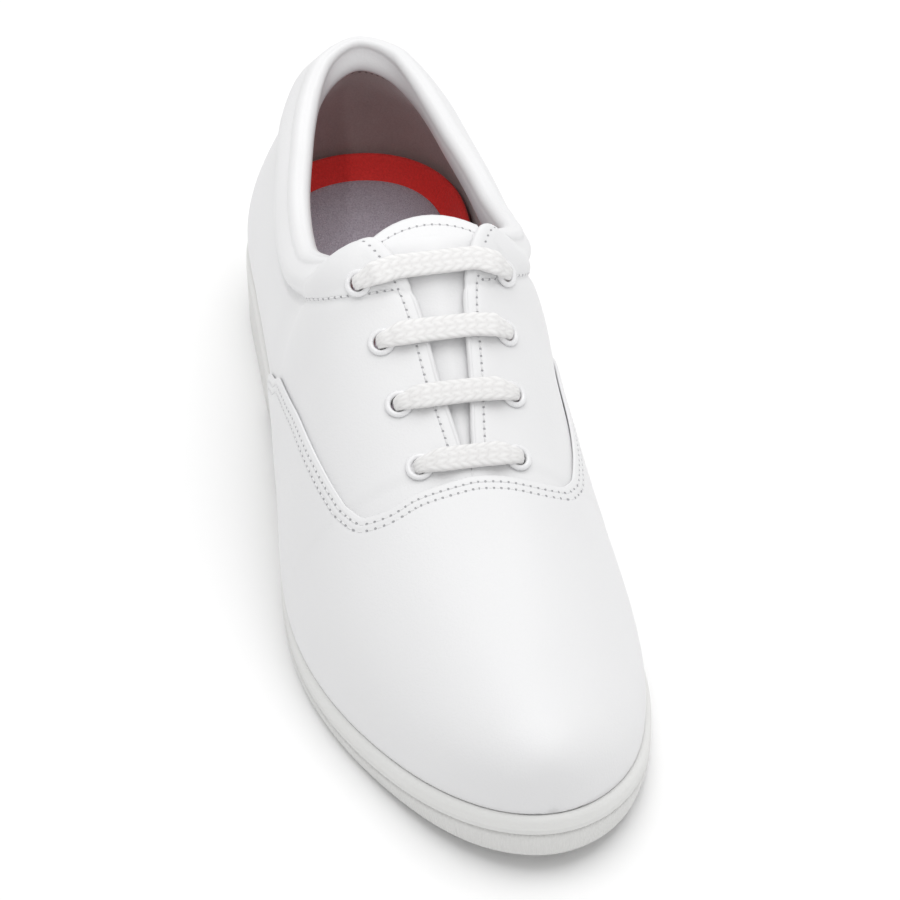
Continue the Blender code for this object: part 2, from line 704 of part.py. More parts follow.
def spun(name, profile, place, paint):
    """A ring from a closed profile of (radius, height) pairs, set on the leather."""
    middle, out, _ = place
    turn = np.array(Vector(out).to_track_quat("Z", "Y").to_matrix())
    points, faces = [], []
    for step in range(EYELET_SEGMENTS):
        angle = 2.0 * math.pi * step / EYELET_SEGMENTS
        for radius, height in profile:
            points.append(middle + turn @ (radius * math.cos(angle), radius * math.sin(angle), height))
    size = len(profile)
    for step in range(EYELET_SEGMENTS):
        first = [step * size + i for i in range(size)]
        second = [(step + 1) % EYELET_SEGMENTS * size + i for i in range(size)]
        faces.extend(band_faces(first, second, True))
    return solid(name, points, faces, paint)


def build_eyelets():
    """Rolled rings with a short barrel through the facing."""
    roll = 0.5 * (EYELET_OUTER + EYELET_INNER)
    profile = (
        (EYELET_INNER, -EYELET_DEPTH),
        (EYELET_BARREL, -EYELET_DEPTH),
        (EYELET_BARREL, GAP),
        (EYELET_OUTER, GAP),
        (EYELET_OUTER - 0.3 * EYELET_FLANGE, GAP + 0.7 * EYELET_FLANGE),
        (roll, GAP + EYELET_FLANGE),
        (EYELET_INNER + 0.3 * EYELET_FLANGE, GAP + 0.6 * EYELET_FLANGE),
    )
    for label, side in (("lateral", LATERAL), ("medial", MEDIAL)):
        for number, place in enumerate(reversed(eyelet_places(side)), 1):
            spun("eyelet_%s_%d" % (label, number), profile, place, "white_enamel")


def lace_path(left, right):
    """From inside one eyelet, over the facings and the gap, into the eyelet across from it."""
    over = EYELET_FLANGE + 0.5 * LACE_THICK + LACE_CLEAR
    stops = []
    for middle, out, s in (left, right):
        side = LATERAL if middle is left[0] else MEDIAL
        edge = wall(s, side, 1.0)
        toward = edge - middle
        toward = toward - out * np.dot(toward, out)
        toward = toward / np.linalg.norm(toward)
        lip = wall_normal(s, side, 1.0)
        stops.append((
            middle - out * 0.8 * EYELET_DEPTH,
            middle + out * 0.6 * EYELET_FLANGE,
            middle + out * 0.95 * over + toward * 0.4 * EYELET_INNER,
            middle + out * (over + 0.0002) + toward * 0.55 * EYELET_FROM_EDGE,
            edge + lip * (0.5 * LACE_THICK + LACE_CLEAR),
        ))
    path = np.array(stops[0] + stops[1][::-1])
    knots = np.concatenate(((0.0,), np.cumsum(np.linalg.norm(np.diff(path, axis=0), axis=1))))
    at = np.linspace(0.0, knots[-1], LACE_STATIONS)
    axes = [cubic_through(knots, line, firm_slopes(knots, line))(at) for line in path.T]
    return np.stack(axes, axis=1)


def build_laces():
    """Four flat bars straight across the throat, narrow where they dip into the eyelets."""
    lateral = list(reversed(eyelet_places(LATERAL)))
    medial = list(reversed(eyelet_places(MEDIAL)))
    for number, (left, right) in enumerate(zip(lateral, medial), 1):
        path = lace_path(left, right)
        run = np.gradient(path, axis=0)
        run = run / np.linalg.norm(run, axis=1, keepdims=True)
        wide = np.cross(left[1] + right[1], right[0] - left[0])
        wide = wide / np.linalg.norm(wide)
        share = np.abs(np.linspace(-1.0, 1.0, LACE_STATIONS))
        spread = 1.0 - smooth_step(0.55, 0.86, share)
        width = LACE_NECK + (LACE_WIDTH - LACE_NECK) * spread
        points, faces = [], []
        before = None
        for middle, along, broad in zip(path, run, width):
            flat = wide - along * np.dot(wide, along)
            flat = flat / np.linalg.norm(flat)
            thick = np.cross(flat, along)
            first = len(points)
            for step in range(LACE_SIDES):
                angle = 2.0 * math.pi * (step + 0.5) / LACE_SIDES
                a, b = math.cos(angle), math.sin(angle)
                points.append(middle + flat * 0.5 * broad * math.copysign(abs(a)**0.7, a)
                              + thick * 0.5 * LACE_THICK * math.copysign(abs(b)**0.7, b))
            now = list(range(first, len(points)))
            faces.extend([now[::-1]] if before is None else band_faces(before, now, True))
            before = now
        faces.append(before)
        solid("lace_bar_%d" % number, points, faces, "white_lace")


for old in list(bpy.data.objects):
    bpy.data.objects.remove(old)
build_sole()
build_footbed()
build_upper()
build_vamp()
build_tongue()
build_eyelets()
build_laces()
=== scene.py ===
"""A right marching band shoe in white leather on a pale studio floor.

The leather, sole, tongue and lace follow the same last as the part, cut more finely.
Metres, +X to the toe, +Y to the inner side of the foot, +Z up.
"""

import math

import bpy
import numpy as np
from mathutils import Matrix, Vector


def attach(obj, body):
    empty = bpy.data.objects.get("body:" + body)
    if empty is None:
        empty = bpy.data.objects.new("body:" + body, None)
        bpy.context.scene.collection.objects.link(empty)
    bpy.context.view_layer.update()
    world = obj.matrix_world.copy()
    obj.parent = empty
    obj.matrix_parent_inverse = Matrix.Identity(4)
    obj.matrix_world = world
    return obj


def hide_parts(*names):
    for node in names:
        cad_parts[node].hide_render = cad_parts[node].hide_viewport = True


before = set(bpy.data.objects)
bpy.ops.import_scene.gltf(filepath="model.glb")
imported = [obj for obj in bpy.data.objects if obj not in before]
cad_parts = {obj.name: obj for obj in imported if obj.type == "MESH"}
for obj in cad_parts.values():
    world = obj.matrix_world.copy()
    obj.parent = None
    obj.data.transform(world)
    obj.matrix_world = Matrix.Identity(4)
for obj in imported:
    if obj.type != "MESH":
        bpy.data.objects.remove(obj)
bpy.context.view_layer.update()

# Driving dimensions of the last
LAST_LENGTH = 0.2954
BALL_HALF = 0.0485
HEEL_HEIGHT = 0.0265
INSTEP_HEIGHT = 0.0846

# Leather, gaps and padding
WALL = 0.0020
GAP = 0.0003
VAMP_THICK = 0.0012
THROAT_GAP = 0.0021
THROAT_TURN = 0.004
THROAT_FADE = 0.040
COLLAR_WIDTH = 0.0145
COLLAR_BEGIN = -0.001
COLLAR_FULL = 0.024
COLLAR_SWELL = 0.0028
COLLAR_PAD = 0.0048
COLLAR_PAD_DEPTH = 1.7
COLLAR_GROOVE = 0.0015
COLLAR_GROOVE_WIDTH = 0.0012
COLLAR_LAP = 0.0003
COLLAR_STRIP_LEAST = 0.008
ROLL_DEPTH = 0.0066
ROLL_STEP = 0.0008
RIM_SEAM = 0.0003
RIM_SEAM_TURN = 1.40

# Sole
RIM_HEIGHT = 0.0060
GROOVE_DEPTH = 0.0011
TREAD_INSET = 0.0010
TREAD_BEVEL = 0.0012
TOE_SPRING = 0.0060
SPRING_START = 0.78
SPRING_POWER = 1.7
BREAST_AT = 0.275
BREAST_SLOPE = 0.004
ARCH_LIFT = 0.0026
ARCH_END = 0.56

# Footbed and its top cover
FOOTBED_INSET = 0.0034
FOOTBED_THICK = 0.0042
CUP_RISE = 0.0068
CUP_START = 0.50
CUP_FULL = 0.28
CUP_LIP = 0.0014
COVER_INSET = 0.0098
COVER_THICK = 0.0008

# Lacing
EYELET_SHARES = (0.863, 0.616, 0.342, 0.058)
EYELET_FROM_EDGE = 0.0127
EYELET_OUTER = 0.0042
EYELET_INNER = 0.0025
EYELET_FLANGE = 0.0008
EYELET_BARREL = 0.0031
EYELET_DEPTH = 0.0018
HOLE_RADIUS = 0.0027
LACE_WIDTH = 0.0076
LACE_THICK = 0.0025
LACE_CLEAR = 0.0002

# Tongue
TONGUE_THICK = 0.0022
TONGUE_GAP = 0.0008
TONGUE_TUCK = 0.016
TONGUE_RISE = 0.0068
TONGUE_LOW_HALF = 0.022
TONGUE_TOP_HALF = 0.0172
TONGUE_SINK = 0.0020
TONGUE_CUT = 0.0044
TONGUE_ROUND = 2.5
TONGUE_CROWN = 0.35
TONGUE_SIDE = 4

# Sewing
STITCH_PITCH = 0.0023
VAMP_ROWS_AT = (0.0019, 0.0041)
FACING_ROW_AT = 0.0030
TONGUE_ROW_AT = 0.0030
COLLAR_ROW_AT = 0.0007
COLLAR_SEWN = (0.0042, 0.0400)
FACING_DIP = 0.00012
FACING_DIP_WIDTH = 0.0006
LINING_ROW_AT = 0.0017

# One row for each section of the last, from the tip of the toe to the back of the heel.
SECTION_COLUMNS = ("along", "half", "mid", "seat", "ledge", "top_along", "top_half", "ridge", "height",
                   "belly_lat", "belly_med", "rise", "crown", "drop")
SECTIONS = (
    (1.000, 0.000, 0.090, 0.796, 0.0038, 1.000, 0.000, 0.090, 0.000, 0.100, 0.100, 0.50, 0.600, 0.00),
    (0.988, 0.243, 0.088, 0.764, 0.0038, 0.988, 0.000, 0.088, 0.158, 0.100, 0.100, 0.50, 0.590, 0.00),
    (0.958, 0.449, 0.083, 0.692, 0.0038, 0.958, 0.000, 0.083, 0.250, 0.090, 0.090, 0.48, 0.600, 0.00),
    (0.912, 0.628, 0.071, 0.584, 0.0037, 0.912, 0.000, 0.072, 0.310, 0.080, 0.080, 0.46, 0.600, 0.00),
    (0.852, 0.779, 0.041, 0.484, 0.0035, 0.852, 0.000, 0.054, 0.365, 0.070, 0.075, 0.45, 0.590, 0.00),
    (0.786, 0.894, -0.003, 0.434, 0.0032, 0.786, 0.000, 0.038, 0.435, 0.060, 0.085, 0.44, 0.600, 0.00),
    (0.715, 0.949, -0.059, 0.418, 0.0027, 0.715, 0.000, 0.032, 0.513, 0.049, 0.127, 0.43, 0.680, 0.00),
    (0.646, 0.936, -0.114, 0.430, 0.0020, 0.646, 0.000, 0.030, 0.607, 0.047, 0.195, 0.42, 0.740, 0.00),
    (0.564, 0.865, -0.152, 0.487, 0.0014, 0.564, 0.064, 0.028, 0.745, 0.050, 0.252, 0.42, 0.780, 0.00),
    (0.488, 0.793, -0.153, 0.578, 0.0010, 0.488, 0.145, 0.027, 0.880, 0.051, 0.267, 0.42, 0.760, 0.00),
    (0.430, 0.758, -0.143, 0.661, 0.0008, 0.426, 0.334, 0.022, 0.985, 0.051, 0.257, 0.42, 0.680, 0.02),
    (0.383, 0.737, -0.127, 0.733, 0.0008, 0.400, 0.552, 0.021, 0.820, 0.051, 0.232, 0.42, 0.530, 0.16),
    (0.320, 0.726, -0.097, 0.817, 0.0008, 0.337, 0.705, 0.020, 0.643, 0.055, 0.175, 0.42, 0.370, 0.30),
    (0.239, 0.732, -0.056, 0.904, 0.0008, 0.245, 0.654, 0.016, 0.565, 0.060, 0.110, 0.42, 0.300, 0.35),
    (0.157, 0.736, -0.022, 0.950, 0.0008, 0.160, 0.556, 0.026, 0.565, 0.060, 0.075, 0.42, 0.300, 0.36),
    (0.082, 0.691, -0.005, 0.973, 0.0008, 0.083, 0.432, 0.038, 0.602, 0.060, 0.060, 0.42, 0.300, 0.36),
    (0.027, 0.473, 0.000, 0.980, 0.0008, 0.040, 0.280, 0.046, 0.652, 0.060, 0.060, 0.42, 0.300, 0.36),
    (0.000, 0.000, 0.000, 0.984, 0.0008, 0.019, 0.000, 0.048, 0.670, 0.060, 0.060, 0.42, 0.300, 0.36),
)
THROAT_ROW = 7
CORNER_ROW = 10
ODD_AT_TOE = ("half", "height")
ODD_AT_HEEL = ("half", "top_half")
EDGE_COLUMNS = ("top_along", "top_half", "height", "crown", "drop")
GHOST_ROWS = 3

# The edge of the vamp on each side, from the middle of the throat to where its wing runs out at the sole.
SEAM_COLUMNS = ("along_lat", "climb_lat", "along_med", "climb_med")
SEAM = (
    (0.654, 1.000, 0.654, 1.000),
    (0.657, 0.915, 0.655, 0.895),
    (0.659, 0.830, 0.657, 0.764),
    (0.664, 0.735, 0.652, 0.645),
    (0.659, 0.650, 0.638, 0.580),
    (0.645, 0.612, 0.613, 0.528),
    (0.618, 0.580, 0.567, 0.455),
    (0.576, 0.533, 0.515, 0.385),
    (0.513, 0.443, 0.465, 0.330),
    (0.446, 0.331, 0.410, 0.250),
    (0.385, 0.255, 0.365, 0.190),
    (0.340, 0.165, 0.340, 0.110),
    (0.330, 0.000, 0.331, 0.000),
)
TIP_FAN = 0.030

# The lower seam of the collar: how far behind the top of the facing, and how high over the floor.
COLLAR_SEAM = (
    (-0.0144, 0.0931),
    (-0.0136, 0.0922),
    (-0.0124, 0.0907),
    (-0.0105, 0.0890),
    (-0.0075, 0.0864),
    (-0.0037, 0.0834),
    (0.0030, 0.0792),
    (0.0100, 0.0752),
    (0.0168, 0.0716),
    (0.0224, 0.0688),
    (0.0295, 0.0656),
    (0.0393, 0.0620),
    (0.0470, 0.0601),
    (0.0542, 0.0593),
    (0.0626, 0.0596),
    (0.0704, 0.0605),
    (0.0796, 0.0615),
    (0.1000, 0.0634),
    (0.1250, 0.0656),
    (0.1470, 0.0668),
)

LATERAL = -1.0
MEDIAL = 1.0
UP = np.array((0.0, 0.0, 1.0))


def unit(vectors):
    return vectors / np.linalg.norm(vectors, axis=-1, keepdims=True)


def rows_at(places, knots, table):
    """The rows of a table at places between its knots."""
    return np.stack([np.interp(places, knots, column) for column in table.T], axis=1)


def soft_slopes(knots, values):
    """Slopes at the knots of the smoothest cubic through them."""
    step = np.diff(knots)
    chord = np.diff(values) / step
    count = len(knots)
    matrix = np.zeros((count, count))
    right = np.zeros(count)
    matrix[0, :2] = (2.0, 1.0)
    right[0] = 3.0 * chord[0]
    matrix[-1, -2:] = (1.0, 2.0)
    right[-1] = 3.0 * chord[-1]
    for i in range(1, count - 1):
        before, after = 1.0 / step[i - 1], 1.0 / step[i]
        matrix[i, i - 1:i + 2] = (before, 2.0 * (before + after), after)
        right[i] = 3.0 * (chord[i - 1] * before + chord[i] * after)
    return np.linalg.solve(matrix, right)


def firm_slopes(knots, values):
    """Slopes at the knots of a cubic that never swings past its rows."""
    step = np.diff(knots)
    chord = np.diff(values) / step
    slope = np.zeros(len(knots))
    slope[0], slope[-1] = chord[0], chord[-1]
    for i in range(1, len(knots) - 1):
        if chord[i - 1] * chord[i] > 0.0:
            before = 2.0 * step[i] + step[i - 1]
            after = step[i] + 2.0 * step[i - 1]
            slope[i] = (before + after) / (before / chord[i - 1] + after / chord[i])
    return slope


def cubic_through(knots, values, slopes):
    """A function that runs through the values at the knots with the given slopes."""
    def at(place):
        place = np.asarray(place, dtype=float)
        i = np.clip(np.searchsorted(knots, place) - 1, 0, len(knots) - 2)
        width = knots[i + 1] - knots[i]
        u = (place - knots[i]) / width
        keep, leave = 2.0 * u**3 - 3.0 * u**2 + 1.0, u**3 - 2.0 * u**2 + u
        take, enter = 3.0 * u**2 - 2.0 * u**3, u**3 - u**2
        return (values[i] * keep + values[i + 1] * take
                + width * (slopes[i] * leave + slopes[i + 1] * enter))
    return at


def firm_curve(knots, values):
    return cubic_through(knots, values, firm_slopes(knots, values))


def mirrored_rows(values, odd_start, odd_end):
    """The rows of a column with a few more past each end, as the other side of the shoe carries on."""
    first = values[1:GHOST_ROWS + 1][::-1]
    last = values[-GHOST_ROWS - 1:-1][::-1]
    if odd_start:
        first = 2.0 * values[0] - first
    if odd_end:
        last = 2.0 * values[-1] - last
    return np.concatenate((first, values, last))


ROWS = np.array(SECTIONS)
ROW = {name: ROWS[:, i] for i, name in enumerate(SECTION_COLUMNS)}
ROW_STEPS = np.hypot(np.diff(ROW["along"]) * LAST_LENGTH, np.diff(ROW["half"]) * BALL_HALF)
ROW_PLACES = np.concatenate(((0.0,), np.cumsum(ROW_STEPS)))
ROUND = ROW_PLACES[-1]
THROAT = ROW_PLACES[THROAT_ROW]
CORNER = ROW_PLACES[CORNER_ROW]


def last_columns():
    """A smooth function of the way round the last for each column of the section table."""
    knots = mirrored_rows(ROW_PLACES, True, True)
    columns = {}
    for name in SECTION_COLUMNS:
        values = mirrored_rows(ROW[name], name in ODD_AT_TOE, name in ODD_AT_HEEL)
        slopes = firm_slopes if name in EDGE_COLUMNS else soft_slopes
        columns[name] = cubic_through(knots, values, slopes(knots, values))
    return columns


LAST = last_columns()
BACK_X = -0.5 * (LAST_LENGTH + ROW["ledge"][0] - ROW["ledge"][-1])


def base_line(s, side):
    """Plan points where the upper meets the sole, s metres round from the tip of the toe."""
    x = BACK_X + LAST["along"](s) * LAST_LENGTH
    y = (side * LAST["half"](s) + LAST["mid"](s)) * BALL_HALF - Y_SHIFT
    return np.stack((x, y), axis=-1)


def base_normal(s, side):
    """Outward plan direction of the base line."""
    step = 0.0002
    run = base_line(s + step, side) - base_line(s - step, side)
    return unit(side * np.stack((run[..., 1], -run[..., 0]), axis=-1))


def seat_height(s):
    return LAST["seat"](s) * HEEL_HEIGHT


def side_extent(side):
    """How far the sole reaches out on one side."""
    s = np.linspace(0.0, ROUND, 400)
    edge = base_line(s, side) + base_normal(s, side) * LAST["ledge"](s)[:, None]
    return np.max(side * edge[:, 1])


Y_SHIFT = 0.0
Y_SHIFT = 0.5 * (side_extent(MEDIAL) - side_extent(LATERAL))


def station(along):
    """The way round the last at which the base line has a given share of the length."""
    s = np.linspace(0.0, ROUND, 1200)
    return np.interp(-np.asarray(along), -LAST["along"](s), s)


def smooth_step(low, high, value):
    share = np.clip((value - low) / (high - low), 0.0, 1.0)
    return share * share * (3.0 - 2.0 * share)


def hump(value, middle, width):
    """A soft ridge one metre high over its middle."""
    return np.exp(-((value - middle) / width)**2)


def edge_half(s):
    """Half the way across between the two top edges; the throat ends in a small U."""
    opens = smooth_step(THROAT, THROAT + THROAT_TURN, s)
    fades = smooth_step(CORNER - THROAT_FADE, CORNER, s)
    return LAST["top_half"](s) * BALL_HALF + THROAT_GAP * opens * (1.0 - fades)


def wall(s, side, climb):
    """Points on the outside of the upper: s round from the toe, climb from the sole to the top edge."""
    s, climb = np.broadcast_arrays(np.asarray(s, dtype=float), np.asarray(climb, dtype=float))
    height = LAST["height"](s) * INSTEP_HEIGHT
    belly = LAST["belly_lat" if side < 0 else "belly_med"](s)
    foot = np.concatenate((base_line(s, side), (seat_height(s) + GAP)[..., None]), axis=-1)
    top_y = side * edge_half(s) + LAST["ridge"](s) * BALL_HALF - Y_SHIFT
    top = np.stack((BACK_X + LAST["top_along"](s) * LAST_LENGTH, top_y, foot[..., 2] + height), axis=-1)
    out = np.concatenate((base_normal(s, side), np.zeros(s.shape + (1,))), axis=-1)
    spread = (foot - top) * (1.0, 1.0, 0.0)
    low = foot + out * (belly * height)[..., None] + UP * (LAST["rise"](s) * height)[..., None]
    high = top + spread * LAST["crown"](s)[..., None] - UP * (LAST["drop"](s) * height)[..., None]
    t = climb[..., None]
    return (foot * (1 - t)**3 + low * 3 * t * (1 - t)**2 + high * 3 * t**2 * (1 - t) + top * t**3)


def wall_normal(s, side, climb):
    """Outward directions of the upper's surface."""
    step_s, step_climb = 0.0003, 0.003
    s, climb = np.broadcast_arrays(np.asarray(s, dtype=float), np.asarray(climb, dtype=float))
    near = np.clip(s, 2.0 * step_s, ROUND)
    run = wall(near + step_s, side, climb) - wall(near - step_s, side, climb)
    rise = wall(near, side, climb + step_climb) - wall(near, side, climb - step_climb)
    out = unit(side * np.cross(run, rise))
    tip = (s < step_s)[..., None]
    return np.where(tip, np.array((1.0, 0.0, 0.0)), out)


def shared_normal(s, side, climb):
    """Outward directions: level at the sole, shared by both sides along the ridge and the heel's back."""
    s, climb = np.broadcast_arrays(np.asarray(s, dtype=float), np.asarray(climb, dtype=float))
    out = wall_normal(s, side, climb)
    at_sole = (climb < 1e-9)[..., None]
    out = unit(np.where(at_sole, out * (1.0, 1.0, 0.0), out))
    both = unit(out + wall_normal(s, -side, climb) * np.where(at_sole, 0.0, 1.0))
    meets = ((climb > 1.0 - 1e-9) & (s < THROAT + 1e-9)) | (s > ROUND - 1e-9)
    return np.where(meets[..., None], both, out)


def path_lengths(points):
    return np.concatenate(((0.0,), np.cumsum(np.linalg.norm(np.diff(points, axis=0), axis=1))))


def nearest_on(line, points):
    """Distance to a line of points, and how far along it the nearest one lies."""
    along = path_lengths(line)
    flat = points.reshape(-1, 3)
    away = np.empty(len(flat))
    place = np.empty(len(flat))
    for first in range(0, len(flat), 2000):
        block = flat[first:first + 2000]
        gap = np.linalg.norm(block[:, None, :] - line[None, :, :], axis=2)
        best = np.argmin(gap, axis=1)
        away[first:first + 2000] = gap[np.arange(len(block)), best]
        place[first:first + 2000] = along[best]
    return away.reshape(points.shape[:-1]), place.reshape(points.shape[:-1])


def climb_at(s, side, from_top):
    """The climb that lies the given distances down from the top edge of one section."""
    fine = np.linspace(0.0, 1.0, 161)
    points = wall(np.full(fine.shape, s), side, fine)
    length = path_lengths(points)
    return np.interp(length[-1] - np.asarray(from_top), length, fine), length[-1]


def collar_share(s):
    """None at the facings, full from the ankle round the heel."""
    return smooth_step(CORNER + COLLAR_BEGIN, CORNER + COLLAR_FULL, s)


COLLAR_KNOTS = np.array(COLLAR_SEAM)
COLLAR_LEVEL = firm_curve(COLLAR_KNOTS[:, 0], COLLAR_KNOTS[:, 1])


def collar_depth(s, side):
    """How far below the top edge of one section the collar's lower seam runs."""
    level = COLLAR_LEVEL(np.clip(s - CORNER, COLLAR_KNOTS[0, 0], COLLAR_KNOTS[-1, 0]))
    down = np.linspace(1.0, 0.0, 161)
    points = wall(np.full(down.shape, s), side, down)
    return float(np.interp(-level, -points[:, 2], path_lengths(points)))


def collar_line(side):
    """Dense points of the collar's lower seam and their outward directions, from the facing to the heel."""
    first = CORNER + COLLAR_KNOTS[0, 0]
    s = first + (ROUND - first) * np.linspace(0.0, 1.0, 400)**1.8
    climb = np.array([climb_at(v, side, collar_depth(v, side))[0] for v in s])
    return wall(s, side, climb), wall_normal(s, side, climb)


def seam_line(side, share):
    """The vamp's edge as way round and climb, from the wing's end (0) to the throat (1)."""
    columns = np.array(SEAM)[::-1]
    first = SEAM_COLUMNS.index("along_lat" if side < 0 else "along_med")
    place, climb = station(columns[:, first]), columns[:, first + 1]
    middle = wall(place, side, climb)
    knots = path_lengths(middle)
    at = np.asarray(share) * knots[-1]
    return firm_curve(knots, place)(at), firm_curve(knots, climb)(at)


def top_edge(side):
    """Dense points of the top edge from the upper facing to the heel, and the way round of each."""
    s = np.linspace(CORNER - 0.020, ROUND, 400)
    return wall(s, side, 1.0), s


COLLAR_LINES = {side: collar_line(side) for side in (LATERAL, MEDIAL)}
TOP_EDGES = {side: top_edge(side) for side in (LATERAL, MEDIAL)}


def deselect():
    bpy.ops.object.select_all(action="DESELECT")


def pick(piece):
    """Select one object alone."""
    deselect()
    piece.select_set(True)
    bpy.context.view_layer.objects.active = piece


def discard(piece):
    """Remove a helper object with its mesh."""
    spent = piece.data
    bpy.data.objects.remove(piece)
    bpy.data.meshes.remove(spent)


def shaped_grid(name, points, maps=None, drop=None):
    """A grid primitive with its corners moved to a table of places and its meeting edges merged."""
    rows, columns = points.shape[:2]
    deselect()
    bpy.ops.mesh.primitive_grid_add(x_subdivisions=columns - 1, y_subdivisions=rows - 1, calc_uvs=False)
    piece = bpy.context.active_object
    piece.name = name
    mesh = piece.data
    mesh.name = name
    mesh.vertices.foreach_set("co", points.reshape(-1))
    corners = np.empty(len(mesh.loops), dtype=np.int32)
    mesh.loops.foreach_get("vertex_index", corners)
    for label, table in (maps or {}).items():
        layer = mesh.uv_layers.new(name=label)
        layer.data.foreach_set("uv", table.reshape(-1, 2)[corners].astype(np.float32).reshape(-1))
    if drop is not None:
        bpy.context.tool_settings.mesh_select_mode = (False, False, True)
        bpy.ops.object.mode_set(mode="EDIT")
        bpy.ops.mesh.select_all(action="DESELECT")
        bpy.ops.object.mode_set(mode="OBJECT")
        mesh.polygons.foreach_set("select", drop.reshape(-1))
        bpy.ops.object.mode_set(mode="EDIT")
        bpy.ops.mesh.delete(type="FACE")
        bpy.ops.object.mode_set(mode="OBJECT")
    close_up(piece)
    return piece


def close_up(piece):
    """Merge what meets, turn the faces outwards and shade them round."""
    pick(piece)
    bpy.ops.object.mode_set(mode="EDIT")
    bpy.ops.mesh.select_all(action="SELECT")
    bpy.ops.mesh.remove_doubles(threshold=2e-6)
    bpy.ops.mesh.normals_make_consistent(inside=False)
    bpy.ops.object.mode_set(mode="OBJECT")
    bpy.ops.object.shade_smooth()


def dress(piece, finishes, nodes):
    """Give a piece its finishes, hang it under the part's root body and hide the part's solids that it stands
    for.
    """
    for finish in finishes:
        piece.data.materials.append(finish)
    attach(piece, "root")
    if nodes:
        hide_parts(*nodes)


# Finishes

LEATHER_LIGHT = (0.835, 0.835, 0.840)
LEATHER_DEEP = (0.800, 0.800, 0.808)
HIDE_SCALE = 1500.0
HIDE_DEPTH = 0.00005
# Painted shade of the needle holes, standing in for the shadow inside each hole
NEEDLE_HOLE_SHADE = (0.33, 0.33, 0.35)
HOLE_DEPTH = 0.00025
NEEDLE_RADIUS = 0.00031
LINING_LIGHT = (0.540, 0.440, 0.430)
LINING_DEEP = (0.300, 0.226, 0.218)
# Painted shade of the lining along the collar's roll and in its needle holes
LINING_PAINTED_SHADE = (0.060, 0.040, 0.038)
LINING_NEEDLE_RADIUS = 0.00045
SHADE_REACH = 0.0011
SHADE_SOFT = 0.0008
RIB_PITCH = 0.0011
LACE_LIGHT = (0.93, 0.925, 0.92)
# Fibre tone, and painted shade in the hollows between the plaits
LACE_FIBRE_AND_PAINTED_SHADE = (0.78, 0.77, 0.765)
FIBRES = (2600.0, 5200.0, 1.0)
ENAMEL_LIGHT = (0.87, 0.87, 0.88)
ENAMEL_DEEP = (0.80, 0.80, 0.81)
THREAD_LIGHT = (0.86, 0.86, 0.86)
THREAD_DEEP = (0.74, 0.74, 0.75)


def new_finish(name):
    made = bpy.data.materials.new(name)
    made.use_nodes = True
    return made, made.node_tree, made.node_tree.nodes["Principled BSDF"]


def add_node(tree, kind, **settings):
    node = tree.nodes.new(kind)
    for key, value in settings.items():
        setattr(node, key, value)
    return node


def feed(tree, socket, value):
    """Give a socket a number, a colour or what another node puts out."""
    if isinstance(value, bpy.types.NodeSocket):
        tree.links.new(value, socket)
    elif isinstance(value, tuple):
        socket.default_value = value + (1.0,)
    else:
        socket.default_value = value


def math_node(tree, operation, first, second=None, clamp=False):
    node = add_node(tree, "ShaderNodeMath", operation=operation, use_clamp=clamp)
    for socket, value in zip(node.inputs, (first, second)):
        if value is not None:
            feed(tree, socket, value)
    return node.outputs[0]


def weighed(tree, first, first_share, second, second_share):
    """The sum of two values, each times its share."""
    return math_node(tree, "ADD", math_node(tree, "MULTIPLY", first, first_share),
                     math_node(tree, "MULTIPLY", second, second_share))


def noise(tree, place, scale, detail=2.0, rough=0.5):
    """A cloudy value between 0 and 1 over a place."""
    node = add_node(tree, "ShaderNodeTexNoise")
    for label, value in (("Vector", place), ("Scale", scale), ("Detail", detail), ("Roughness", rough)):
        feed(tree, node.inputs[label], value)
    return node.outputs["Fac"]


def across_map(tree, chart):
    """The two values of a map: metres along and metres across."""
    split = add_node(tree, "ShaderNodeSeparateXYZ")
    tree.links.new(chart, split.inputs[0])
    return split.outputs[0], split.outputs[1]


def effect(name, inputs, outputs):
    """An empty node group with named number, colour and vector sockets."""
    tree = bpy.data.node_groups.new(name, "ShaderNodeTree")
    for label, kind, value in inputs:
        socket = tree.interface.new_socket(name=label, in_out="INPUT", socket_type=kind)
        if value is not None:
            socket.default_value = value
    for label, kind in outputs:
        tree.interface.new_socket(name=label, in_out="OUTPUT", socket_type=kind)
    return tree, add_node(tree, "NodeGroupInput"), add_node(tree, "NodeGroupOutput")


def needle_holes_effect():
    """A row of needle holes at one distance from a sewn edge; the map holds metres along and across."""
    tree, given, made = effect("needle_holes", (
        ("Map", "NodeSocketVector", None), ("Pitch", "NodeSocketFloat", STITCH_PITCH),
        ("Row", "NodeSocketFloat", 0.002), ("Radius", "NodeSocketFloat", NEEDLE_RADIUS),
    ), (("Mask", "NodeSocketFloat"),))
    far, aside = across_map(tree, given.outputs["Map"])
    turns = math_node(tree, "DIVIDE", far, given.outputs["Pitch"])
    within = math_node(tree, "SUBTRACT", math_node(tree, "FRACT", turns), 0.5)
    along = math_node(tree, "MULTIPLY", within, given.outputs["Pitch"])
    across = math_node(tree, "SUBTRACT", aside, given.outputs["Row"])
    squared = math_node(tree, "ADD", math_node(tree, "MULTIPLY", along, along),
                        math_node(tree, "MULTIPLY", across, across))
    away = math_node(tree, "DIVIDE", math_node(tree, "SQRT", squared), given.outputs["Radius"])
    fall = math_node(tree, "SUBTRACT", 1.35, away, clamp=True)
    tree.links.new(math_node(tree, "MULTIPLY", fall, 1.6, clamp=True), made.inputs["Mask"])
    return tree


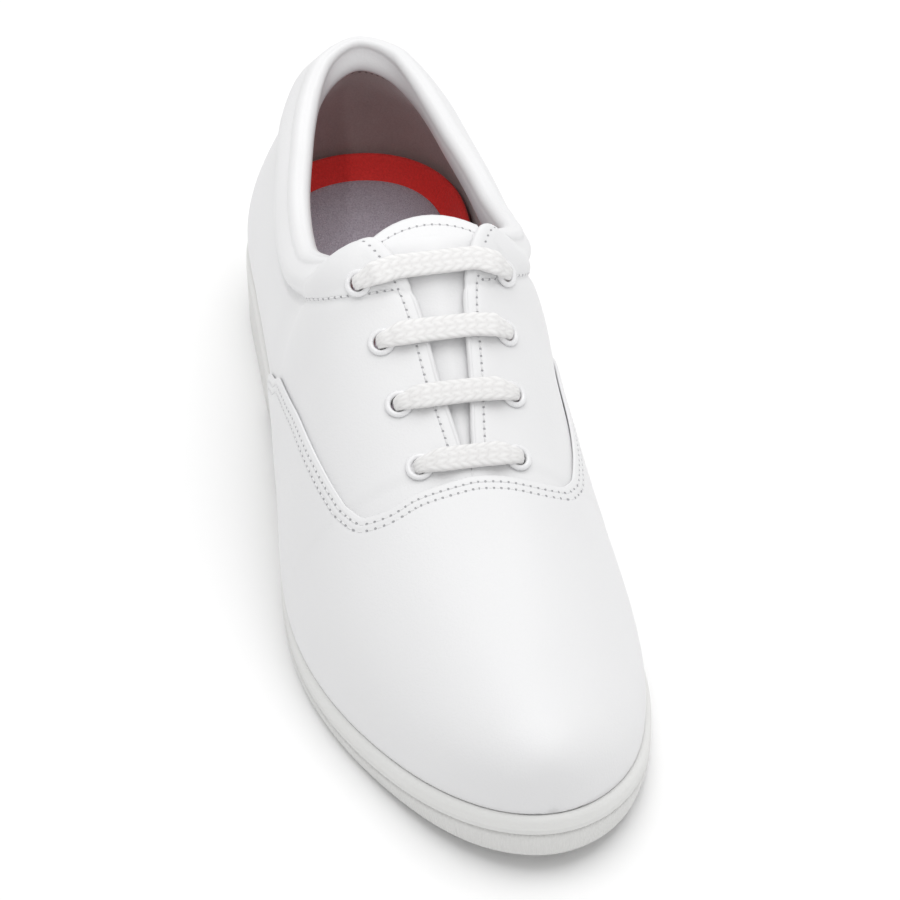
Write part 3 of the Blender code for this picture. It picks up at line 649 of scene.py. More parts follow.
def grain_effect():
    """Fine pores and pebbles of a finished hide, and slow changes of its tone."""
    tree, given, made = effect("hide_grain", (
        ("Place", "NodeSocketVector", None), ("Scale", "NodeSocketFloat", 900.0),
    ), (("Height", "NodeSocketFloat"), ("Tone", "NodeSocketFloat")))
    place, scale = given.outputs["Place"], given.outputs["Scale"]
    cells = add_node(tree, "ShaderNodeTexVoronoi", feature="SMOOTH_F1")
    for label, value in (("Vector", place), ("Scale", scale), ("Smoothness", 0.6)):
        feed(tree, cells.inputs[label], value)
    mottle = noise(tree, place, math_node(tree, "MULTIPLY", scale, 0.35), 4.0)
    tree.links.new(weighed(tree, cells.outputs["Distance"], 0.6, mottle, 0.6), made.inputs["Height"])
    tree.links.new(noise(tree, place, 26.0, 3.0), made.inputs["Tone"])
    return tree


def use_effect(tree, group, **values):
    node = add_node(tree, "ShaderNodeGroup", node_tree=group)
    for label, value in values.items():
        feed(tree, node.inputs[label], value)
    return node


def object_place(tree):
    return add_node(tree, "ShaderNodeTexCoord").outputs["Object"]


def mixed_colour(tree, share, first, second):
    """A colour between two, by a mask."""
    node = add_node(tree, "ShaderNodeMix", data_type="RGBA")
    tree.links.new(share, node.inputs["Factor"])
    feed(tree, node.inputs[6], first)
    feed(tree, node.inputs[7], second)
    return node.outputs[2]


def ranged(tree, value, low, high):
    """Spread a value of 0 to 1 between two others."""
    node = add_node(tree, "ShaderNodeMapRange")
    for label, given in (("Value", value), ("To Min", low), ("To Max", high)):
        feed(tree, node.inputs[label], given)
    return node.outputs["Result"]


def surface(tree, shader, values, height, depth):
    """Feed the shader's named inputs, and bump it by a height that counts in steps of depth."""
    for label, value in values.items():
        feed(tree, shader.inputs[label], value)
    node = add_node(tree, "ShaderNodeBump")
    for label, value in (("Strength", 1.0), ("Distance", depth), ("Height", height)):
        feed(tree, node.inputs[label], value)
    tree.links.new(node.outputs["Normal"], shader.inputs["Normal"])


NEEDLE_HOLES = needle_holes_effect()
HIDE_GRAIN = grain_effect()


def leather_finish(name, sewn):
    """Smooth white leather with painted shade in its needle holes; sewn lists the map and row of each line of
    needle holes.
    """
    made, tree, shader = new_finish(name)
    grain = use_effect(tree, HIDE_GRAIN, Place=object_place(tree), Scale=HIDE_SCALE)
    colour = mixed_colour(tree, grain.outputs["Tone"], LEATHER_DEEP, LEATHER_LIGHT)
    height = math_node(tree, "MULTIPLY", grain.outputs["Height"], HIDE_DEPTH)
    holes = 0.0
    for label, row in sewn:
        chart = add_node(tree, "ShaderNodeUVMap", uv_map=label).outputs[0]
        line = use_effect(tree, NEEDLE_HOLES, Map=chart, Row=row, Pitch=STITCH_PITCH).outputs["Mask"]
        holes = math_node(tree, "MAXIMUM", holes, line)
    # Painted shade in the needle holes, over a shallow dent of the bump
    colour = mixed_colour(tree, math_node(tree, "MULTIPLY", holes, 0.85), colour, NEEDLE_HOLE_SHADE)
    height = math_node(tree, "SUBTRACT", height, math_node(tree, "MULTIPLY", holes, HOLE_DEPTH))
    surface(tree, shader, {
        "Base Color": colour,
        "Roughness": ranged(tree, grain.outputs["Height"], 0.36, 0.50),
        "Specular IOR Level": 0.45,
        "Coat Weight": 0.10,
        "Coat Roughness": 0.30,
    }, height, 1.0)
    return made


def lining_finish():
    """Taupe brushed lining of the heel, sewn where it goes under the collar's roll, with painted shade along
    that edge and in its needle holes.
    """
    made, tree, shader = new_finish("heel_lining")
    place = object_place(tree)
    nap = noise(tree, place, 1700.0, 3.0)
    tone = weighed(tree, nap, 0.6, noise(tree, place, 60.0), 0.4)
    colour = mixed_colour(tree, tone, LINING_DEEP, LINING_LIGHT)
    chart = add_node(tree, "ShaderNodeUVMap", uv_map="Edge").outputs[0]
    # Painted shade along the lining's top, where it runs under the collar's roll
    below = math_node(tree, "ADD", across_map(tree, chart)[1], ROLL_DEPTH + SHADE_REACH)
    under = math_node(tree, "DIVIDE", below, SHADE_SOFT, clamp=True)
    holes = use_effect(tree, NEEDLE_HOLES, Map=chart, Row=-ROLL_DEPTH - LINING_ROW_AT, Pitch=STITCH_PITCH,
                       Radius=LINING_NEEDLE_RADIUS).outputs["Mask"]
    # Painted shade from the roll's edge and from the needle holes together
    painted_shade = math_node(tree, "MULTIPLY", math_node(tree, "MAXIMUM", under, holes), 0.75)
    surface(tree, shader, {
        "Base Color": mixed_colour(tree, painted_shade, colour, LINING_PAINTED_SHADE),
        "Roughness": 0.85,
        "Sheen Weight": 0.7,
        "Sheen Roughness": 0.45,
    }, nap, 0.0001)
    return made


def rubber_finish(name, light, deep, ribs):
    """Moulded white rubber, a little rough, with faint upright ribs where ribs is over 0."""
    made, tree, shader = new_finish(name)
    place = object_place(tree)
    rough = noise(tree, place, 1300.0, 5.0)
    tone = weighed(tree, rough, 0.5, noise(tree, place, 45.0), 0.5)
    height = math_node(tree, "MULTIPLY", rough, 0.00012)
    if ribs:
        chart = add_node(tree, "ShaderNodeUVMap", uv_map="Round").outputs[0]
        turns = math_node(tree, "MULTIPLY", across_map(tree, chart)[0], 2.0 * math.pi / RIB_PITCH)
        wave = math_node(tree, "SINE", turns)
        height = math_node(tree, "ADD", height, math_node(tree, "MULTIPLY", wave, ribs))
    surface(tree, shader, {
        "Base Color": mixed_colour(tree, tone, deep, light),
        "Roughness": ranged(tree, rough, 0.48, 0.68),
    }, height, 1.0)
    return made


def lace_finish():
    """White braided cord: soft fibre over the plaits of the mesh, with painted shade in the hollows between
    the plaits.
    """
    made, tree, shader = new_finish("braided_lace")
    chart = add_node(tree, "ShaderNodeUVMap", uv_map="Braid").outputs[0]
    stretch = add_node(tree, "ShaderNodeMapping")
    stretch.inputs["Scale"].default_value = FIBRES
    tree.links.new(chart, stretch.inputs["Vector"])
    fibre = noise(tree, stretch.outputs[0], 1.0, 4.0)
    # The plait attribute is each strand's height: the low strands between plaits get painted shade, mixed
    # with fibre noise
    deep = add_node(tree, "ShaderNodeAttribute", attribute_name="plait").outputs["Fac"]
    tone = math_node(tree, "MULTIPLY", deep, ranged(tree, fibre, 0.7, 1.1), clamp=True)
    surface(tree, shader, {
        "Base Color": mixed_colour(tree, tone, LACE_FIBRE_AND_PAINTED_SHADE, LACE_LIGHT),
        "Roughness": 0.82,
        "Sheen Weight": 0.25,
        "Specular IOR Level": 0.25,
    }, fibre, 0.00018)
    return made


def enamel_finish():
    """White enamel, slightly uneven under its gloss."""
    made, tree, shader = new_finish("white_enamel_ring")
    uneven = noise(tree, object_place(tree), 700.0)
    surface(tree, shader, {
        "Base Color": mixed_colour(tree, uneven, ENAMEL_DEEP, ENAMEL_LIGHT),
        "Roughness": ranged(tree, uneven, 0.22, 0.34),
        "Coat Weight": 0.4,
        "Coat Roughness": 0.15,
    }, uneven, 0.00006)
    return made


def woven_finish(name, light, deep, weave, rough):
    """Short-pile cloth or skinned foam with a fine even texture."""
    made, tree, shader = new_finish(name)
    place = object_place(tree)
    cells = add_node(tree, "ShaderNodeTexVoronoi")
    feed(tree, cells.inputs["Scale"], weave)
    feed(tree, cells.inputs["Vector"], place)
    tone = ranged(tree, noise(tree, place, weave, 2.0, 0.75), -0.9, 1.9)
    tone = math_node(tree, "MULTIPLY", tone, 1.0, clamp=True)
    surface(tree, shader, {
        "Base Color": mixed_colour(tree, tone, deep, light),
        "Roughness": rough,
        "Sheen Weight": 0.15,
    }, cells.outputs["Distance"], 0.00015)
    return made


def thread_finish():
    """Twisted white sewing thread."""
    made, tree, shader = new_finish("sewing_thread")
    twist = noise(tree, object_place(tree), 4000.0)
    surface(tree, shader, {
        "Base Color": mixed_colour(tree, twist, THREAD_DEEP, THREAD_LIGHT),
        "Roughness": 0.7,
    }, twist, 0.00005)
    return made


# Threads of the stitch rows, gathered while the leather is made: middle, direction along, outward direction
STITCHES = []


def sew(points, outs, chart):
    """Lay one thread between each two needle holes of a line; the chart counts metres along its holes."""
    order = np.argsort(chart)
    chart, points, outs = chart[order], points[order], outs[order]
    first, last = math.ceil(chart[0] / STITCH_PITCH), math.floor(chart[-1] / STITCH_PITCH)
    at = STITCH_PITCH * np.arange(first, last + 1)
    place = rows_at(at, chart, points)
    after = rows_at(at + 0.0004, chart, points)
    out = rows_at(at, chart, outs)
    for middle, ahead, up in zip(place, after, out):
        run = ahead - middle
        if np.linalg.norm(run) > 1e-7:
            STITCHES.append((middle, unit(run), unit(up)))


# Upper

TOE_COLUMNS = 44
FACING_COLUMNS = 80
ANKLE_COLUMNS = 28
ANKLE_RUN = 0.030
HEEL_COLUMNS = 80
LOW_ROWS = 34
HIGH_ROWS = 34
RIM_STEPS = 20
INNER_ROLL_ROWS = 14
INNER_ROWS = 26
HEEL_CROWD = 1.4
HEEL_THIN = 0.62
TURN_SOFTENING = 160
TURN_FADE_ROWS = 14
TURN_AT_HEEL = (0.060, 0.025)
TURN_AT_FACING = (0.0, 0.006, 0.022, 0.036)


def upper_places():
    """Columns of the upper from the tip of the toe to the back of the heel."""
    round_heel = 1.0 - (1.0 - np.linspace(0.0, 1.0, HEEL_COLUMNS + 1)[1:])**HEEL_CROWD
    toe = THROAT * np.linspace(0.0, 1.0, TOE_COLUMNS + 1)**1.2
    facing = np.linspace(THROAT, CORNER, FACING_COLUMNS + 1)[1:]
    ankle = CORNER + ANKLE_RUN * np.linspace(0.0, 1.0, ANKLE_COLUMNS + 1)[1:]
    heel = ankle[-1] + (ROUND - ankle[-1]) * round_heel
    return np.concatenate((toe, facing, ankle, heel))


def outer_section(s, side):
    """The outside of one section from the sole to the top edge, and its places in the two sewing maps."""
    whole = climb_at(s, side, 0.0)[1]
    depth = collar_depth(s, side)
    strip = min(max(depth, COLLAR_STRIP_LEAST), 0.5 * whole)
    low = strip + (whole - strip) * np.linspace(1.0, 0.0, LOW_ROWS + 1)[:-1]**1.15
    from_top = np.concatenate((low, strip * np.linspace(1.0, 0.0, HIGH_ROWS + 1)))
    climb = climb_at(s, side, from_top)[0]
    climb[0], climb[-1] = 0.0, 1.0
    place = np.full(climb.shape, s)
    skin, out = wall(place, side, climb), shared_normal(place, side, climb)
    padded = collar_share(s)
    away, along_seam = nearest_on(COLLAR_LINES[side][0], skin)
    seam = np.where(from_top > depth, away, -away)
    edge_line, edge_s = TOP_EDGES[side]
    from_edge, edge_place = nearest_on(edge_line, skin)
    swollen = collar_share(np.interp(edge_place, path_lengths(edge_line), edge_s))
    share = np.where(seam < 0.0, from_edge / np.clip(from_edge + away, 1e-5, COLLAR_WIDTH - 0.0010), 1.0)
    lift = COLLAR_SWELL * swollen * np.sin(math.pi * np.clip(share, 0.0, 1.0))
    lift = lift - (0.35 + 0.65 * padded) * COLLAR_GROOVE * hump(seam, 0.0, COLLAR_GROOVE_WIDTH)
    lift = lift + COLLAR_LAP * (1.0 - padded) * smooth_step(0.0006, -0.0010, seam)
    facing = smooth_step(THROAT - 0.001, THROAT + 0.003, s) * (1.0 - smooth_step(CORNER, CORNER + 0.012, s))
    lift = lift - FACING_DIP * facing * hump(from_top, FACING_ROW_AT, FACING_DIP_WIDTH)
    sewn = (along_seam > COLLAR_SEWN[0]) & (along_seam < COLLAR_SEWN[1])
    return skin + out * lift[:, None], from_top, np.where(sewn, seam, -1.0), along_seam


def inner_section(s, side):
    """The inside of one section from the top edge down to the sole, and how far down each point lies."""
    whole = climb_at(s, side, 0.0)[1]
    padded = collar_share(s)
    roll = min(ROLL_DEPTH, 0.4 * whole)
    down = np.concatenate((np.linspace(0.0, roll, INNER_ROLL_ROWS), (roll + 0.0003,),
                           np.linspace(roll + 0.0012, whole, INNER_ROWS)))
    climb = climb_at(s, side, down)[0]
    climb[0], climb[-1] = 1.0, 0.0
    place = np.full(climb.shape, s)
    thin = HEEL_THIN * smooth_step(ROUND - 0.050, ROUND - 0.012, s)
    thin = thin * (1.0 - smooth_step(0.0, roll, down))
    pad = COLLAR_PAD * padded * (1.0 - thin)
    thick = WALL + pad * (1.0 - smooth_step(0.0, COLLAR_PAD_DEPTH * COLLAR_WIDTH, down))
    puff = np.sin(math.pi * np.clip(down / (2.0 * roll), 0.0, 0.5))**0.7
    thick = thick + ROLL_STEP * padded * puff * (down < roll + 0.0001)
    return wall(place, side, climb) - shared_normal(place, side, climb) * thick[:, None], down


def soften_turns(inner, s_row):
    """Round the inside of the collar where it turns tightly, behind the heel and below the facings."""
    loop = inner[:, :-1]
    fade = np.interp(np.arange(len(inner)), (INNER_ROLL_ROWS, INNER_ROLL_ROWS + TURN_FADE_ROWS), (0.5, 0.0))
    near = smooth_step(ROUND - TURN_AT_HEEL[0], ROUND - TURN_AT_HEEL[1], s_row[:-1])
    start, full, still, end = [CORNER + way for way in TURN_AT_FACING]
    front = smooth_step(start, full, s_row[:-1])
    near = near + 0.3 * front * (1.0 - smooth_step(still, end, s_row[:-1]))
    share = fade[:, None, None] * near[None, :, None]
    for _ in range(TURN_SOFTENING):
        loop = loop + share * (0.5 * (np.roll(loop, 1, axis=1) + np.roll(loop, -1, axis=1)) - loop)
    return np.concatenate((loop, loop[:, :1]), axis=1)


def turned_rim(outer, inner, s_row):
    """Half-round steps from the outer top edge over to the inner one, with the binding's shallow seam."""
    across = 0.5 * (outer[-1] - inner[0])
    radius = np.linalg.norm(across, axis=1)
    along = outer[-1] - outer[-2]
    along = unit(along - across * (np.sum(along * across, axis=1) / radius**2)[:, None])
    reach = np.where(s_row < CORNER, np.minimum(radius, 0.5 * edge_half(s_row)), radius)
    turn = math.pi * np.arange(1, RIM_STEPS)[:, None, None] / RIM_STEPS
    seam = (RIM_SEAM * collar_share(s_row) / radius)[None, :, None]
    bound = 1.0 - seam * hump(turn, RIM_SEAM_TURN, 0.22)
    spoke = np.cos(turn) * across + np.sin(turn) * along * reach[:, None]
    return 0.5 * (outer[-1] + inner[0]) + bound * spoke


def build_upper():
    """Quarters, heel and padded collar in one lasted shell, open at the throat and underneath."""
    places = upper_places()
    columns = [(s, LATERAL) for s in places[::-1]] + [(s, MEDIAL) for s in places[1:]]
    s_row = np.array([s for s, _ in columns])
    outside = zip(*[outer_section(s, side) for s, side in columns])
    outer, from_top, below_seam, along_seam = [np.stack(table, axis=1) for table in outside]
    inside = zip(*[inner_section(s, side) for s, side in columns])
    inner, down = [np.stack(table, axis=1) for table in inside]
    inner = soften_turns(inner, s_row)
    points = np.concatenate((outer, turned_rim(outer, inner, s_row), inner, outer[:1]))
    around = path_lengths(np.stack([wall(s, side, 1.0) for s, side in columns]))
    on_rim = np.zeros((RIM_STEPS - 1, len(columns)))
    from_edge = np.concatenate((from_top, on_rim, -down, -down[-1:]))
    hidden = (len(points) - len(outer), len(columns))
    below_seam = np.concatenate((below_seam, np.full(hidden, -1.0)))
    along_seam = np.concatenate((along_seam, np.zeros(hidden)))
    on_facing = (s_row > THROAT) & (s_row < CORNER + 0.008)
    from_edge = np.where(on_facing[None, :] | (from_edge < 0.0), from_edge, 1.0)
    maps = {
        "Edge": np.stack((np.broadcast_to(around, from_edge.shape), from_edge), axis=-1),
        "Collar": np.stack((along_seam, below_seam), axis=-1),
    }
    drop = np.zeros((len(points) - 1, len(columns) - 1), dtype=bool)
    closed = (s_row[:-1] <= THROAT + 1e-9) & (s_row[1:] <= THROAT + 1e-9)
    drop[len(outer) - 1:len(outer) + RIM_STEPS - 1, :] = closed[None, :]
    piece = shaped_grid("leather_upper", points, maps, drop)
    dress(piece, (LEATHER_UPPER, HEEL_LINING), ("upper",))
    line_inside(piece)
    punch_holes(piece)
    last = len(places)
    for side, part_round in ((LATERAL, slice(last - 1, None, -1)), (MEDIAL, slice(last - 1, None))):
        sew_facing(side, places, around[part_round])
        sew_collar(side)


def punch_holes(piece):
    """Cut the lace holes through both facings with one punch."""
    punches = []
    for side in (LATERAL, MEDIAL):
        for middle, out, _ in eyelet_places(side):
            deselect()
            turn = Vector(out).to_track_quat("Z", "Y").to_euler()
            bpy.ops.mesh.primitive_cylinder_add(vertices=32, radius=HOLE_RADIUS, depth=0.014,
                                                location=Vector(middle), rotation=turn)
            punches.append(bpy.context.active_object)
    for punch in punches:
        punch.select_set(True)
    bpy.ops.object.join()
    punch = bpy.context.active_object
    pick(piece)
    cut = piece.modifiers.new("lace_holes", "BOOLEAN")
    cut.operation = "DIFFERENCE"
    cut.solver = "EXACT"
    cut.object = punch
    bpy.ops.object.modifier_apply(modifier=cut.name)
    discard(punch)


def line_inside(piece):
    """The heel lining starts below the collar's inner roll."""
    chart = piece.data.uv_layers["Edge"].data
    values = np.empty(2 * len(piece.data.loops), dtype=np.float32)
    chart.foreach_get("uv", values)
    depth = values[1::2]
    starts = np.empty(len(piece.data.polygons), dtype=np.int32)
    piece.data.polygons.foreach_get("loop_start", starts)
    deepest = np.maximum.reduceat(depth, starts)
    kinds = (deepest < -ROLL_DEPTH - 0.0001).astype(np.int32)
    piece.data.polygons.foreach_set("material_index", kinds)
    piece.data.update()


def sew_facing(side, places, around):
    """One row of stitches along the facing's edge and round its top corner."""
    s = np.linspace(THROAT + 0.004, CORNER + 0.006, 160)
    climb = np.array([climb_at(v, side, FACING_ROW_AT)[0] for v in s])
    out = wall_normal(s, side, climb)
    sew(wall(s, side, climb), out, np.interp(s, places, around))


def sew_collar(side):
    """One row of stitches where the collar's front is lapped over the quarter."""
    line, out = COLLAR_LINES[side]
    upward = unit(np.cross(out, np.gradient(line, axis=0)))
    upward = upward * np.sign(np.sum(upward[:, 2]))
    along = path_lengths(line)
    keep = (along > COLLAR_SEWN[0]) & (along < COLLAR_SEWN[1])
    row = line + upward * COLLAR_ROW_AT + out * 0.0002
    sew(row[keep], out[keep], along[keep])


# Vamp

VAMP_COLUMNS = 150
VAMP_ROWS = 64
VAMP_EDGE_STEPS = 5
VAMP_UNDER_ROWS = 10
VAMP_EDGE_THIN = 0.0003
VAMP_EDGE_WIDTH = 0.0007
VAMP_ROW_DIP = 0.00016
VAMP_ROW_WIDTH = 0.00055
VAMP_ROW_SWELL = 0.00010
VAMP_MIDDLE = np.array((0.06, 0.0, 0.03))
VAMP_SEAM_END = 0.004


def vamp_seam():
    """Dense points of the vamp's edge from the lateral wing over the throat to the medial wing."""
    share = np.linspace(0.0, 1.0, 700)
    lines, outs = [], []
    for side in (LATERAL, MEDIAL):
        s, climb = seam_line(side, share)
        lines.append(wall(s, side, climb))
        outs.append(shared_normal(s, side, np.minimum(climb, 1.0)))
    line = np.concatenate((lines[0], lines[1][-2::-1]))
    out = np.concatenate((outs[0], outs[1][-2::-1]))
    return line, out


def build_vamp():
    """The vamp with its wings, a lapped sheet whose edge is turned down on the quarters."""
    columns = []
    for side in (LATERAL, MEDIAL):
        wing = float(seam_line(side, 0.0)[0])
        shares = np.linspace(0.0, 1.0, VAMP_COLUMNS + 1)
        if side > 0:
            shares = shares[-2::-1]
        for share in shares:
            gone = share * (wing + TIP_FAN)
            foot = (max(wing - gone, 0.0), max(gone - wing, 0.0) / TIP_FAN)
            columns.append((side, foot, seam_line(side, share)))
    up = 1.0 - (1.0 - np.linspace(0.0, 1.0, VAMP_ROWS + 1))**1.5
    down = np.linspace(1.0, 0.0, VAMP_UNDER_ROWS + 1)
    skins, under = [], []
    for side, foot, edge in columns:
        for share, rows in ((up, skins), (down, under)):
            s = foot[0] + (edge[0] - foot[0]) * share
            climb = foot[1] + (edge[1] - foot[1]) * share
            rows.append((wall(s, side, climb), shared_normal(s, side, climb)))
    skin = np.stack([r[0] for r in skins], axis=1)
    out = np.stack([r[1] for r in skins], axis=1)
    line, _ = vamp_seam()
    away, place = nearest_on(line, skin)
    thick = VAMP_THICK - VAMP_EDGE_THIN * hump(away, 0.0, VAMP_EDGE_WIDTH)
    for row in VAMP_ROWS_AT:
        thick = thick - VAMP_ROW_DIP * hump(away, row, VAMP_ROW_WIDTH)
    thick = thick + VAMP_ROW_SWELL * hump(away, 0.5 * sum(VAMP_ROWS_AT), VAMP_EDGE_WIDTH)
    top = skin + out * (GAP + thick)[..., None]
    low_skin = np.stack([r[0] for r in under], axis=1)
    low_out = np.stack([r[1] for r in under], axis=1)
    bottom = low_skin + low_out * GAP
    turn = math.pi * np.arange(1, VAMP_EDGE_STEPS)[:, None, None] / VAMP_EDGE_STEPS
    middle = 0.5 * (top[-1] + bottom[0])
    radius = 0.5 * np.linalg.norm(top[-1] - bottom[0], axis=-1)[:, None]
    beyond = top[-1] - top[-2]
    beyond = beyond / np.maximum(np.linalg.norm(beyond, axis=-1, keepdims=True), 1e-9)
    edge = middle + radius * (np.cos(turn) * out[-1] + np.sin(turn) * beyond)
    points = np.concatenate((top, edge, bottom, top[:1]))
    hidden = (len(points) - len(away), away.shape[1])
    across = np.concatenate((away, np.full(hidden, -1.0)))
    around = np.concatenate((place, np.broadcast_to(place[-1], hidden)))
    piece = shaped_grid("leather_vamp", points, {"Seam": np.stack((around, across), axis=-1)})
    dress(piece, (LEATHER_VAMP,), ("vamp",))
    for row in VAMP_ROWS_AT:
        sew_vamp(row)


def sew_vamp(row):
    """One row of stitches inside the vamp's edge."""
    line, out = vamp_seam()
    inward = unit(np.cross(out, np.gradient(line, axis=0)))
    facing = np.sign(np.sum((VAMP_MIDDLE - line) * inward, axis=1))
    flip = 1.0 if np.sum(facing) > 0 else -1.0
    inside = line + flip * inward * row + out * (GAP + VAMP_THICK - 0.00012)
    near = path_lengths(line)
    keep = (near > VAMP_SEAM_END) & (near < near[-1] - VAMP_SEAM_END)
    sew(inside[keep], out[keep], near[keep])


# Sole

SOLE_STATIONS = 300
BEAD_ROUND = 0.0021
BEAD_LIP = 0.0004
BEAD_LIP_AT = 0.0006
BEAD_TUCK = 0.0012
TREAD_TUCK = 0.0010
# The wall of the bead: how far in from the ledge and how high over the groove.
BEAD_WALL = ((0.00035, 0.0013), (0.00030, 0.0017), (0.00005, 0.0022), (0.0, 0.0030))
# The top of the tread's wall: its share of the tread's inset and how far below the groove.
TREAD_TOP = ((0.15, 0.0022), (0.20, 0.0010), (0.50, 0.0004))


def ring(inset, height, stations):
    """A loop of points round the last: inset metres inside the base line, at the given heights."""
    inset = np.broadcast_to(inset, stations.shape)
    lateral = base_line(stations, LATERAL) - base_normal(stations, LATERAL) * inset[:, None]
    medial = base_line(stations, MEDIAL) - base_normal(stations, MEDIAL) * inset[:, None]
    loop = np.concatenate((lateral, medial[-2::-1]))
    levels = np.concatenate((height, height[-2::-1]))
    return np.concatenate((loop, levels[:, None]), axis=1)


def sole_stations():
    """Even steps round the sole, with close ones at the heel's breast."""
    front = float(station(BREAST_AT))
    back = float(station(BREAST_AT - BREAST_SLOPE / LAST_LENGTH))
    even = np.linspace(0.0, ROUND, SOLE_STATIONS)
    far = even[(even < front - 0.0004) | (even > back + 0.0004)]
    return np.sort(np.concatenate((far, np.linspace(front, back, 6))))


def tread_height(stations):
    """The underside: heel and ball on the floor, a shallow arch between them, and the toe sprung up."""
    along = LAST["along"](stations)
    spring = TOE_SPRING * np.clip((along - SPRING_START) / (1.0 - SPRING_START), 0.0, 1.0)**SPRING_POWER
    arch = ARCH_LIFT * (1.0 - smooth_step(BREAST_AT, ARCH_END, along))
    breast = smooth_step(BREAST_AT - BREAST_SLOPE / LAST_LENGTH, BREAST_AT, along)
    return spring + arch * breast


def closed_across(name, loops, finish, nodes):
    """A solid from loops round the last, its first and last loops filled across."""
    stack = np.stack(loops)
    lines = 0.5 * (stack + stack[:, ::-1])
    points = np.concatenate((lines[:1], stack, lines[-1:]))
    around = path_lengths(stack[len(stack) // 2])
    chart = np.stack((np.broadcast_to(around, points.shape[:2]), points[..., 2]), axis=-1)
    piece = shaped_grid(name, points, {"Round": chart})
    dress(piece, (finish,), nodes)


def build_sole():
    """A rounded bead over a deeper tread layer, with a groove between the two."""
    s = sole_stations()
    ledge = LAST["ledge"](s)
    seat = seat_height(s)
    joint = seat - RIM_HEIGHT
    tread = tread_height(s)
    loops = [ring(GROOVE_DEPTH + BEAD_TUCK - ledge, joint + 0.00005, s),
             ring(GROOVE_DEPTH - ledge, joint + 0.0001, s)]
    for turn in np.linspace(-0.5 * math.pi, 0.0, 5):
        loops.append(ring(BEAD_LIP - BEAD_LIP * math.cos(turn) - ledge,
                          joint + BEAD_LIP_AT + BEAD_LIP * math.sin(turn), s))
    for inset, rise in BEAD_WALL:
        loops.append(ring(inset - ledge, joint + rise, s))
    for turn in np.linspace(0.0, 0.5 * math.pi, 9):
        loops.append(ring(BEAD_ROUND * (1.0 - math.cos(turn)) - ledge,
                          seat - BEAD_ROUND * (1.0 - math.sin(turn)), s))
    loops.append(ring(BEAD_ROUND + 0.0016 - ledge, seat - 0.0004, s))
    closed_across("sole_bead", loops, BEAD_RUBBER, ("midsole",))
    top = joint - GAP
    loops = [ring(TREAD_INSET + TREAD_BEVEL + TREAD_TUCK - ledge, tread, s)]
    for turn in np.linspace(0.0, 0.5 * math.pi, 6):
        loops.append(ring(TREAD_INSET + TREAD_BEVEL * (1.0 - math.sin(turn)) - ledge,
                          tread + TREAD_BEVEL * (1.0 - math.cos(turn)), s))
    for share in (0.25, 0.5, 0.75):
        level = tread + TREAD_BEVEL + share * (top - TREAD_TOP[0][1] - tread - TREAD_BEVEL)
        loops.append(ring(TREAD_INSET * (1.0 - 0.85 * share) - ledge, level, s))
    for share, below in TREAD_TOP:
        loops.append(ring(share * TREAD_INSET - ledge, top - below, s))
    loops.append(ring(GROOVE_DEPTH - ledge, top, s))
    loops.append(ring(GROOVE_DEPTH + TREAD_TUCK - ledge, top, s))
    closed_across("sole_tread", loops, TREAD_RUBBER, ("outsole",))


def build_footbed():
    """A foam bed with a raised cup round the heel, and a fabric cover lying in it."""
    s = np.linspace(0.0, ROUND, SOLE_STATIONS)
    along = LAST["along"](s)
    base = seat_height(s) + GAP
    cup = CUP_RISE * (1.0 - smooth_step(CUP_FULL, CUP_START, along))
    deck = base + FOOTBED_THICK
    loops = [ring(FOOTBED_INSET + 0.001, base, s), ring(FOOTBED_INSET, base + 0.0002, s),
             ring(FOOTBED_INSET, deck + cup - 0.5 * CUP_LIP, s),
             ring(FOOTBED_INSET + 0.3 * CUP_LIP, deck + cup - 0.1 * CUP_LIP, s),
             ring(FOOTBED_INSET + CUP_LIP, deck + cup, s)]
    for share in np.linspace(0.15, 1.0, 8):
        inset = FOOTBED_INSET + CUP_LIP + share * (COVER_INSET - FOOTBED_INSET - CUP_LIP)
        loops.append(ring(inset, deck + cup * (1.0 - share)**1.35, s))
    loops.append(ring(COVER_INSET + 0.003, deck, s))
    closed_across("footbed_foam", loops, RED_FOAM, ("footbed",))
    lift = deck + GAP
    loops = [ring(COVER_INSET + 0.002, lift, s), ring(COVER_INSET + GAP, lift + 0.00005, s),
             ring(COVER_INSET + GAP, lift + 0.5 * COVER_THICK, s),
             ring(COVER_INSET + 1.6 * GAP, lift + 0.85 * COVER_THICK, s),
             ring(COVER_INSET + COVER_THICK, lift + COVER_THICK, s)]
    for inset in np.linspace(COVER_INSET + 0.003, 0.028, 8):
        loops.append(ring(inset, lift + COVER_THICK, s))
    closed_across("sock_cover", loops, GREY_CLOTH, ("sock_lining",))


# Tongue

TONGUE_ACROSS = 49
TONGUE_LOW_ROWS = 50
TONGUE_HIGH_ROWS = 26
TONGUE_EDGE = 5


